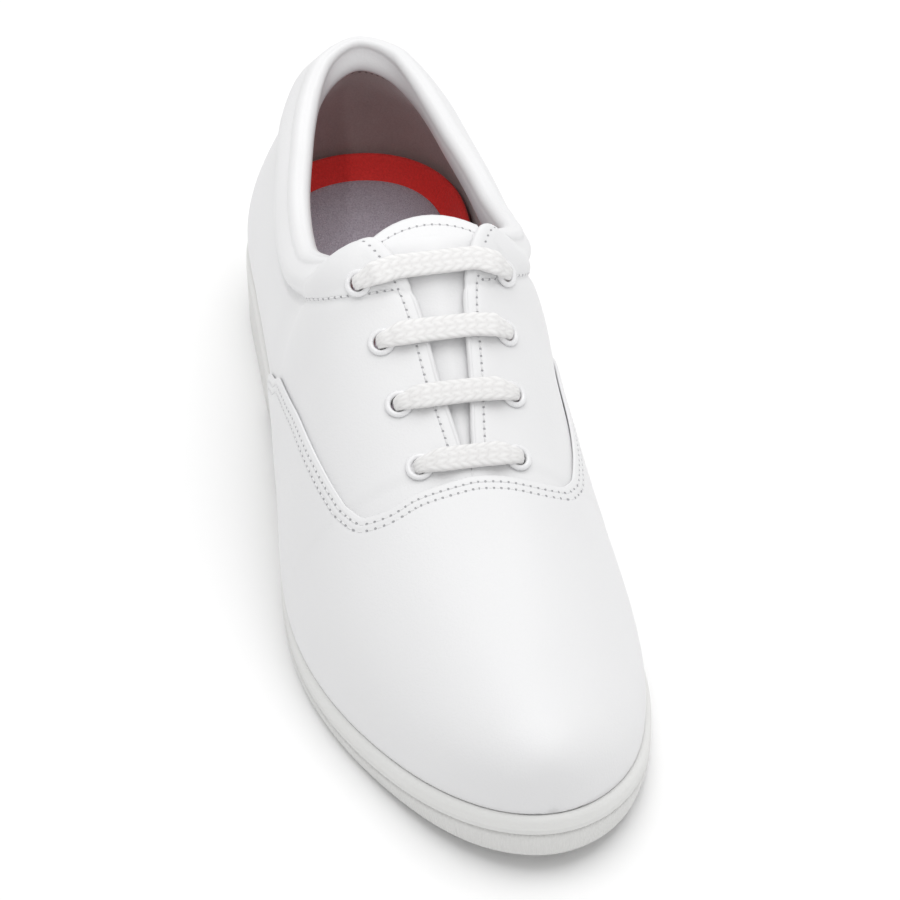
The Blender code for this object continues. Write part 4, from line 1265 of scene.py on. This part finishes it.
def tongue_section(s, half):
    """A line across under the facings, from the lateral edge of the tongue to the medial one."""
    sides = []
    for side in (LATERAL, MEDIAL):
        under = np.linspace(max(half - float(edge_half(s)), 0.0), 0.0, TONGUE_SIDE)
        climb = climb_at(s, side, under)[0]
        place = np.full(climb.shape, s)
        sides.append((wall(place, side, climb), wall_normal(place, side, climb)))
    (left, left_out), (right, right_out) = sides
    middle = 0.5 * (left[-1] + right[-1])
    slope = np.linalg.norm(left_out[-1, :2]) / left_out[-1, 2]
    middle = middle + UP * TONGUE_CROWN * slope * 0.5 * np.linalg.norm(left[-1] - right[-1])
    middle_out = unit(left_out[-1] + right_out[-1])
    line = np.concatenate((left, middle[None], right[::-1]))
    out = np.concatenate((left_out, middle_out[None], right_out[::-1]))
    knots = np.linspace(-1.0, 1.0, len(line))
    at = np.linspace(-1.0, 1.0, TONGUE_ACROSS)
    fine = np.stack([firm_curve(knots, column)(at) for column in line.T], axis=1)
    return fine, unit(rows_at(at, knots, out))


def facing_rise():
    """Unit direction up the facings near their top."""
    ends = [wall(CORNER - back, LATERAL, 1.0) + wall(CORNER - back, MEDIAL, 1.0) for back in (0.016, 0.004)]
    return unit(ends[1] - ends[0])


def build_tongue():
    """A soft leather tongue under the facings, its arched top standing clear of them."""
    start = THROAT - TONGUE_TUCK
    tops, outs = [], []
    rise_way = facing_rise()
    for share in np.linspace(0.0, 1.0, TONGUE_LOW_ROWS + 1):
        half = TONGUE_LOW_HALF + (TONGUE_TOP_HALF - TONGUE_LOW_HALF) * share
        line, out = tongue_section(min(start + share * (CORNER - start), CORNER - 0.001), half)
        tops.append(line)
        outs.append(out)
    last_top, last_out = tops[-1], outs[-1]
    for clear in np.linspace(0.0, 1.0, TONGUE_HIGH_ROWS + 1)[1:]:
        tops.append(last_top + (rise_way * TONGUE_RISE - last_out * TONGUE_SINK) * clear)
        outs.append(last_out)
    skin, out = np.stack(tops), np.stack(outs)
    width = path_lengths(skin[-1])
    across = np.abs(2.0 * width / width[-1] - 1.0)
    for j, cut in enumerate(TONGUE_CUT * across**TONGUE_ROUND):
        path = path_lengths(skin[:, j])
        at = path * (1.0 - cut / path[-1])
        skin[:, j] = rows_at(at, path, skin[:, j])
        out[:, j] = rows_at(at, path, out[:, j])
    top = skin - out * (WALL + TONGUE_GAP)
    bottom = skin - out * (WALL + TONGUE_GAP + TONGUE_THICK)
    turn = math.pi * np.arange(1, TONGUE_EDGE)[:, None, None] / TONGUE_EDGE
    ends = []
    for row, beside in ((-1, -2), (0, 1)):
        beyond = unit(top[row] - top[beside])
        middle = 0.5 * (top[row] + bottom[row])
        ends.append(middle + 0.5 * TONGUE_THICK * (np.cos(turn) * out[row] + np.sin(turn) * beyond))
    points = np.concatenate((top, ends[0], bottom[::-1], ends[1][::-1], top[:1]))
    steps = np.linalg.norm(np.diff(top, axis=0), axis=2)
    away = np.concatenate((np.cumsum(steps[::-1], axis=0)[::-1], np.zeros((1, TONGUE_ACROSS))))
    edge_chart = path_lengths(top[-1])
    rest = np.full((len(points) - len(away), TONGUE_ACROSS), -1.0)
    seam_away = np.concatenate((away, rest))
    place = np.broadcast_to(edge_chart, seam_away.shape)
    piece = shaped_grid("leather_tongue", points, {"Seam": np.stack((place, seam_away), axis=-1)})
    fill_open_sides(piece)
    dress(piece, (LEATHER_TONGUE,), ("tongue",))
    line = np.stack([[np.interp(TONGUE_ROW_AT, away[::-1, j], top[::-1, j, i]) for i in range(3)]
                     for j in range(TONGUE_ACROSS)])
    sew(line, out[-1], edge_chart)


def fill_open_sides(piece):
    """Close a tube of leather along its two open ends."""
    pick(piece)
    bpy.context.tool_settings.mesh_select_mode = (True, False, False)
    bpy.ops.object.mode_set(mode="EDIT")
    bpy.ops.mesh.select_all(action="DESELECT")
    bpy.ops.mesh.select_non_manifold()
    bpy.ops.mesh.edge_face_add()
    bpy.ops.mesh.select_all(action="SELECT")
    bpy.ops.mesh.normals_make_consistent(inside=False)
    bpy.ops.object.mode_set(mode="OBJECT")


# Lacing

def eyelet_places(side):
    """Middle and outward direction of each eyelet of one facing, from the top down."""
    places = []
    for share in EYELET_SHARES:
        s = THROAT + share * (CORNER - THROAT)
        climb = climb_at(s, side, EYELET_FROM_EDGE)[0]
        places.append((wall(s, side, climb), wall_normal(s, side, climb), s))
    return places


EYELET_SEGMENTS = 40


def model_eyelet():
    """One rolled ring with its barrel, drawn out of a circle ring by ring, standing on the origin."""
    roll = 0.5 * (EYELET_OUTER + EYELET_INNER)
    steps = [(EYELET_INNER, -EYELET_DEPTH), (EYELET_INNER, GAP + 0.2 * EYELET_FLANGE)]
    for turn in np.linspace(0.15 * math.pi, math.pi, 9):
        steps.append((roll - (roll - EYELET_INNER) * math.cos(turn),
                      GAP + EYELET_FLANGE * (0.25 + 0.75 * math.sin(turn))))
    steps.append((EYELET_OUTER, GAP * 0.4))
    steps.append((EYELET_BARREL, GAP * 0.4))
    steps.append((EYELET_BARREL, -EYELET_DEPTH))
    deselect()
    bpy.ops.mesh.primitive_circle_add(vertices=EYELET_SEGMENTS, radius=steps[0][0],
                                      location=(0.0, 0.0, steps[0][1]), fill_type="NOTHING")
    piece = bpy.context.active_object
    bpy.ops.object.transform_apply(location=True, rotation=True, scale=True)
    bpy.context.tool_settings.mesh_select_mode = (False, True, False)
    bpy.ops.object.mode_set(mode="EDIT")
    bpy.ops.mesh.select_all(action="SELECT")
    for before, now in zip(steps, steps[1:]):
        bpy.ops.mesh.extrude_region_move(TRANSFORM_OT_translate={"value": (0.0, 0.0, now[1] - before[1])})
        wider = now[0] / before[0]
        bpy.ops.transform.resize(value=(wider, wider, 1.0))
    bpy.ops.mesh.select_all(action="DESELECT")
    bpy.ops.mesh.select_non_manifold()
    bpy.ops.mesh.bridge_edge_loops()
    bpy.ops.object.mode_set(mode="OBJECT")
    close_up(piece)
    return piece


def build_eyelets():
    """Eight rings, each its own copy, seated on the facings."""
    model = model_eyelet()
    for label, side in (("lateral", LATERAL), ("medial", MEDIAL)):
        for number, (middle, out, _) in enumerate(eyelet_places(side), 1):
            pick(model)
            bpy.ops.object.duplicate()
            piece = bpy.context.active_object
            piece.name = "enamel_ring_%s_%d" % (label, number)
            piece.data.name = piece.name
            turn = Vector(out).to_track_quat("Z", "Y").to_matrix().to_4x4()
            piece.data.transform(Matrix.Translation(Vector(middle)) @ turn)
            dress(piece, (ENAMEL,), ("eyelet_%s_%d" % (label, number),))
    discard(model)


LACE_AROUND = 44
LACE_STEP = 0.00030
LACE_EASE = 6
LACE_SQUARE = 0.75
PLAIT_LENGTH = 0.0031
PLAIT_COLUMNS = 4
PLAIT_HEIGHT = 0.00021
LACE_FULL = (LACE_WIDTH, LACE_THICK)
LACE_BENT = (0.0062, 0.0026)
LACE_AT_RIM = (0.0045, 0.0041)
LACE_IN_HOLE = (0.0042, 0.0038)
LACE_PRESSED = (0.0052, 0.0009)
UNDER_FACING = WALL + 0.0008
RETURN_BESIDE = 0.0062


def toward_throat(middle, out, s, side):
    """Unit direction on the facing from a point of one section to its edge at the throat."""
    toward = wall(s, side, 1.0) - middle
    return unit(toward - out * np.dot(toward, out))


def lace_return(side):
    """Stops of the lace's last run, flat under one facing beside the eyelets and up to the top one."""
    stops = []
    for share in EYELET_SHARES[-2::-1]:
        s = THROAT + share * (CORNER - THROAT)
        climb = climb_at(s, side, EYELET_FROM_EDGE + RETURN_BESIDE)[0]
        middle, out = wall(s, side, climb), wall_normal(s, side, climb)
        stops.append((middle - out * UNDER_FACING, toward_throat(middle, out, s, side), LACE_PRESSED))
    return stops


def lace_stops(place, side, low):
    """Stops of the lace at one eyelet, from under the facing to the edge of the throat."""
    middle, out, s = place
    edge = wall(s, side, 1.0)
    toward = toward_throat(middle, out, s, side)
    lip = wall_normal(s, side, 1.0)
    over = EYELET_FLANGE + 0.5 * LACE_THICK + LACE_CLEAR
    up = np.cross(toward, out) * side
    return [
        (middle - out * UNDER_FACING + low * 0.0040, toward, LACE_PRESSED),
        (middle - out * 0.0014 + toward * 0.0002, up, LACE_IN_HOLE),
        (middle + out * 0.0006 + toward * 0.0003, up, LACE_AT_RIM),
        (middle + out * 0.80 * over + toward * 0.0036, up, LACE_BENT),
        (middle + out * (over - 0.0002) + toward * 0.58 * EYELET_FROM_EDGE, up, LACE_FULL),
        (edge + lip * (0.5 * LACE_THICK + LACE_CLEAR), up, LACE_FULL),
    ]


def lace_route():
    """Stops of the whole lace: places, directions across its flat side, and width with thickness.

    It starts and ends hidden at the top lateral eyelet, and crosses from side to side in bars.
    """
    places = {side: eyelet_places(side) for side in (LATERAL, MEDIAL)}
    back_up = lace_return(LATERAL)
    count = len(EYELET_SHARES)
    stops = []
    for number in range(count):
        start = LATERAL if number % 2 == 0 else MEDIAL
        for side, other in ((start, number - 1), (-start, number + 1)):
            after = places[side][abs(other)][0] if other < count else back_up[0][0]
            low = unit(after - places[side][number][0])
            here = lace_stops(places[side][number], side, low)
            stops.extend(here if side == start else here[::-1])
    stops.extend(back_up)
    path, flats, sizes = [np.array(column) for column in zip(*stops)]
    for i in range(1, len(flats)):
        if np.dot(flats[i], flats[i - 1]) < 0.0:
            flats[i] = -flats[i]
    return path, flats, sizes


def build_lace():
    """One braided lace: straight bars over the throat, hidden runs under the facings between them."""
    path, flats, sizes = lace_route()
    knots = path_lengths(path)
    at = np.linspace(0.0, knots[-1], int(knots[-1] / LACE_STEP))
    line = np.stack([firm_curve(knots, column)(at) for column in path.T], axis=1)
    flat = rows_at(at, knots, flats)
    width, thick = [firm_curve(knots, column)(at) for column in sizes.T]
    kernel = np.hanning(2 * LACE_EASE + 1)
    kernel = kernel / kernel.sum()
    for i in range(3):
        padded = np.pad(line[:, i], LACE_EASE, mode="edge")
        line[:, i] = np.convolve(padded, kernel, mode="valid")
    run = unit(np.gradient(line, axis=0))
    flat = unit(flat - run * np.sum(flat * run, axis=1, keepdims=True))
    up = np.cross(flat, run)
    travelled = path_lengths(line)
    angle = 2.0 * math.pi * np.arange(LACE_AROUND + 1) / LACE_AROUND
    a, b = np.cos(angle), np.sin(angle)
    wide = np.sign(a) * np.abs(a)**LACE_SQUARE
    high = np.sign(b) * np.abs(b)**LACE_SQUARE
    around = 0.5 * (1.0 - wide) * PLAIT_COLUMNS
    column = np.floor(np.clip(around, 0.0, PLAIT_COLUMNS - 1e-6))
    within = around - column
    lean = np.where(column % 2 > 0.5, 1.0, -1.0)
    phase = travelled[:, None] / PLAIT_LENGTH + (lean * within * 0.9)[None, :] + 0.5 * (b < 0.0)[None, :]
    crest = 0.35 + 0.65 * np.sin(math.pi * np.clip(within, 0, 1))**0.6
    strand = np.abs(np.sin(math.pi * phase))**0.7 * crest[None, :]
    lift = PLAIT_HEIGHT * (strand - 0.6)
    ends = np.ones(len(line))
    ends[:LACE_EASE] = np.linspace(0.05, 1.0, LACE_EASE)
    ends[-LACE_EASE:] = ends[:LACE_EASE][::-1]
    half_wide = (0.5 * width * ends)[:, None] * wide[None, :] + lift * a[None, :]
    half_high = (0.5 * thick * ends)[:, None] * high[None, :] + lift * b[None, :]
    points = line[:, None, :] + flat[:, None, :] * half_wide[..., None]
    points = points + up[:, None, :] * half_high[..., None]
    points[:, -1] = points[:, 0]
    chart = np.stack((np.broadcast_to(travelled[:, None], strand.shape),
                      np.broadcast_to((around * LACE_WIDTH / PLAIT_COLUMNS)[None, :], strand.shape)), axis=-1)
    tips = np.stack([np.broadcast_to(points[i, :-1].mean(axis=0), points[i].shape) for i in (0, -1)])
    points = np.concatenate((tips[:1], points, tips[1:]))
    chart = np.concatenate((chart[:1], chart, chart[-1:]))
    strand = np.concatenate((strand[:1], strand, strand[-1:]))
    piece = shaped_grid("braided_lace", points, {"Braid": chart})
    near = np.empty(3 * len(piece.data.vertices), dtype=np.float32)
    piece.data.vertices.foreach_get("co", near)
    keep = strand_values(near.reshape(-1, 3), points.reshape(-1, 3), strand.reshape(-1))
    # Strand heights for the lace finish, which paints shade into the low strands between plaits
    layer = piece.data.attributes.new("plait", "FLOAT", "POINT")
    layer.data.foreach_set("value", keep.astype(np.float32))
    dress(piece, (LACE_CORD,), tuple("lace_bar_%d" % n for n in range(1, 5)))


def strand_values(kept, points, values):
    """The values of those points that a mesh still has after its doubles were merged."""
    table = {tuple(np.round(p, 6)): v for p, v in zip(points.astype(np.float32), values)}
    return np.array([table.get(tuple(np.round(p, 6)), 0.6) for p in kept])


# Stitch threads

THREAD_LENGTH = 0.00178
THREAD_WIDTH = 0.00052
THREAD_HEIGHT = 0.00040
THREAD_BOW = 0.00010


def build_threads():
    """All stitches as one mesh, copied from one short bowed thread."""
    deselect()
    bpy.ops.mesh.primitive_uv_sphere_add(segments=8, ring_count=6, radius=0.5)
    model = bpy.context.active_object
    bpy.ops.object.mode_set(mode="EDIT")
    bpy.ops.mesh.select_all(action="SELECT")
    bpy.ops.transform.resize(value=(THREAD_WIDTH, THREAD_HEIGHT, THREAD_LENGTH))
    bpy.ops.object.mode_set(mode="OBJECT")
    shape = np.empty(3 * len(model.data.vertices))
    model.data.vertices.foreach_get("co", shape)
    shape = shape.reshape(-1, 3)
    faces = [tuple(f.vertices) for f in model.data.polygons]
    bowed = shape[:, 1] - THREAD_BOW * (2.0 * shape[:, 2] / THREAD_LENGTH)**2
    points, polygons = [], []
    for middle, run, out in STITCHES:
        beside = np.cross(out, run)
        first = len(points) * len(shape)
        points.append(middle + shape[:, :1] * beside + bowed[:, None] * out + shape[:, 2:] * run)
        polygons.extend(tuple(first + i for i in f) for f in faces)
    discard(model)
    mesh = bpy.data.meshes.new("stitch_threads")
    mesh.from_pydata(np.concatenate(points).tolist(), [], polygons)
    piece = bpy.data.objects.new("stitch_threads", mesh)
    bpy.context.collection.objects.link(piece)
    close_up(piece)
    dress(piece, (THREAD,), ())


# Studio

CAMERA_AZIMUTH = math.radians(78.28)
CAMERA_ELEVATION = math.radians(39.59)
CAMERA_ROLL = math.radians(-0.73)
CAMERA_AWAY = 2.924
CAMERA_TARGET = np.array((0.0, 0.0, 0.045))
PHOTO_FOCAL = 5929.9
PHOTO_SIZE = 900.0
PHOTO_AXIS = (456.3, 474.5)
PHOTO_MIDDLE = (469.5, 486.0)
CLOSER = 1.66
SENSOR = 36.0
FLOOR_SIZE = 12.0
FLOOR_TONE = (0.98, 0.98, 0.98, 1.0)
ROOM_LIGHT = 0.64
BOX_PLACE = (-0.15, 0.15, 1.45)
BOX_SIZE = (1.5, 1.5)
BOX_POWER = 13.0
SPOT_PLACE = (0.88, -0.51, 1.20)
SPOT_AIM = (-0.105, 0.006, 0.045)
SPOT_CONE = math.radians(4.6)
SPOT_RADIUS = 0.06
SPOT_POWER = 15.0


def build_camera():
    """The photograph's view of the shoe, drawn closer round this one."""
    back = np.array((math.sin(CAMERA_AZIMUTH) * math.cos(CAMERA_ELEVATION),
                     -math.cos(CAMERA_AZIMUTH) * math.cos(CAMERA_ELEVATION), math.sin(CAMERA_ELEVATION)))
    right = unit(np.cross(UP, back))
    above = np.cross(back, right)
    c, s = math.cos(CAMERA_ROLL), math.sin(CAMERA_ROLL)
    axes = np.stack((c * right - s * above, s * right + c * above, back), axis=1)
    lens = bpy.data.cameras.new("studio_camera")
    lens.sensor_width = SENSOR
    lens.lens = SENSOR * PHOTO_FOCAL * CLOSER / PHOTO_SIZE
    lens.shift_x = (PHOTO_MIDDLE[0] - PHOTO_AXIS[0]) * CLOSER / PHOTO_SIZE
    lens.shift_y = -(PHOTO_MIDDLE[1] - PHOTO_AXIS[1]) * CLOSER / PHOTO_SIZE
    lens.clip_end = 50.0
    camera = bpy.data.objects.new("studio_camera", lens)
    turn = Matrix(axes.tolist()).to_4x4()
    camera.matrix_world = Matrix.Translation(Vector(CAMERA_TARGET + back * CAMERA_AWAY)) @ turn
    bpy.context.collection.objects.link(camera)
    bpy.context.scene.camera = camera


def hang_light(name, kind, place, aim, power):
    """A lamp at a place, turned to what it lights."""
    lamp = bpy.data.lights.new(name, kind)
    lamp.energy = power
    holder = bpy.data.objects.new(name, lamp)
    turn = (Vector(aim) - Vector(place)).to_track_quat("-Z", "Y").to_matrix().to_4x4()
    holder.matrix_world = Matrix.Translation(Vector(place)) @ turn
    bpy.context.collection.objects.link(holder)
    return lamp


def build_studio():
    """A pale floor, one large light overhead, a narrow one for the opening, and a dim white room."""
    deselect()
    bpy.ops.mesh.primitive_plane_add(size=FLOOR_SIZE)
    floor = bpy.context.active_object
    floor.name = "studio_floor"
    made, _, shader = new_finish("floor_paper")
    shader.inputs["Base Color"].default_value = FLOOR_TONE
    shader.inputs["Roughness"].default_value = 0.9
    shader.inputs["Specular IOR Level"].default_value = 0.1
    floor.data.materials.append(made)
    room = bpy.data.worlds.new("studio_room")
    room.use_nodes = True
    room.node_tree.nodes["Background"].inputs["Color"].default_value = (1.0, 1.0, 1.0, 1.0)
    room.node_tree.nodes["Background"].inputs["Strength"].default_value = ROOM_LIGHT
    bpy.context.scene.world = room
    box = hang_light("overhead_box", "AREA", BOX_PLACE, (0.0, 0.0, 0.0), BOX_POWER)
    box.shape = "RECTANGLE"
    box.size, box.size_y = BOX_SIZE
    spot = hang_light("opening_spot", "SPOT", SPOT_PLACE, SPOT_AIM, SPOT_POWER)
    spot.spot_size = SPOT_CONE
    spot.spot_blend = 1.0
    spot.shadow_soft_size = SPOT_RADIUS
    bpy.context.scene.view_settings.view_transform = "Standard"


build_camera()
LEATHER_UPPER = leather_finish("quarter_leather", (("Edge", FACING_ROW_AT), ("Collar", -COLLAR_ROW_AT)))
LEATHER_VAMP = leather_finish("vamp_leather", [("Seam", row) for row in VAMP_ROWS_AT])
LEATHER_TONGUE = leather_finish("tongue_leather", (("Seam", TONGUE_ROW_AT),))
HEEL_LINING = lining_finish()
BEAD_RUBBER = rubber_finish("bead_rubber", (0.84, 0.84, 0.83), (0.77, 0.77, 0.755), 0.0)
TREAD_RUBBER = rubber_finish("tread_rubber", (0.80, 0.80, 0.79), (0.72, 0.715, 0.70), 0.00006)
LACE_CORD = lace_finish()
ENAMEL = enamel_finish()
RED_FOAM = woven_finish("red_foam_skin", (0.95, 0.036, 0.030), (0.80, 0.026, 0.022), 1500.0, 0.75)
GREY_CLOTH = woven_finish("grey_sock_cloth", (0.500, 0.456, 0.512), (0.290, 0.256, 0.304), 2100.0, 0.9)
THREAD = thread_finish()

build_sole()
build_footbed()
build_upper()
build_vamp()
build_tongue()
build_eyelets()
build_lace()
build_threads()
build_studio()
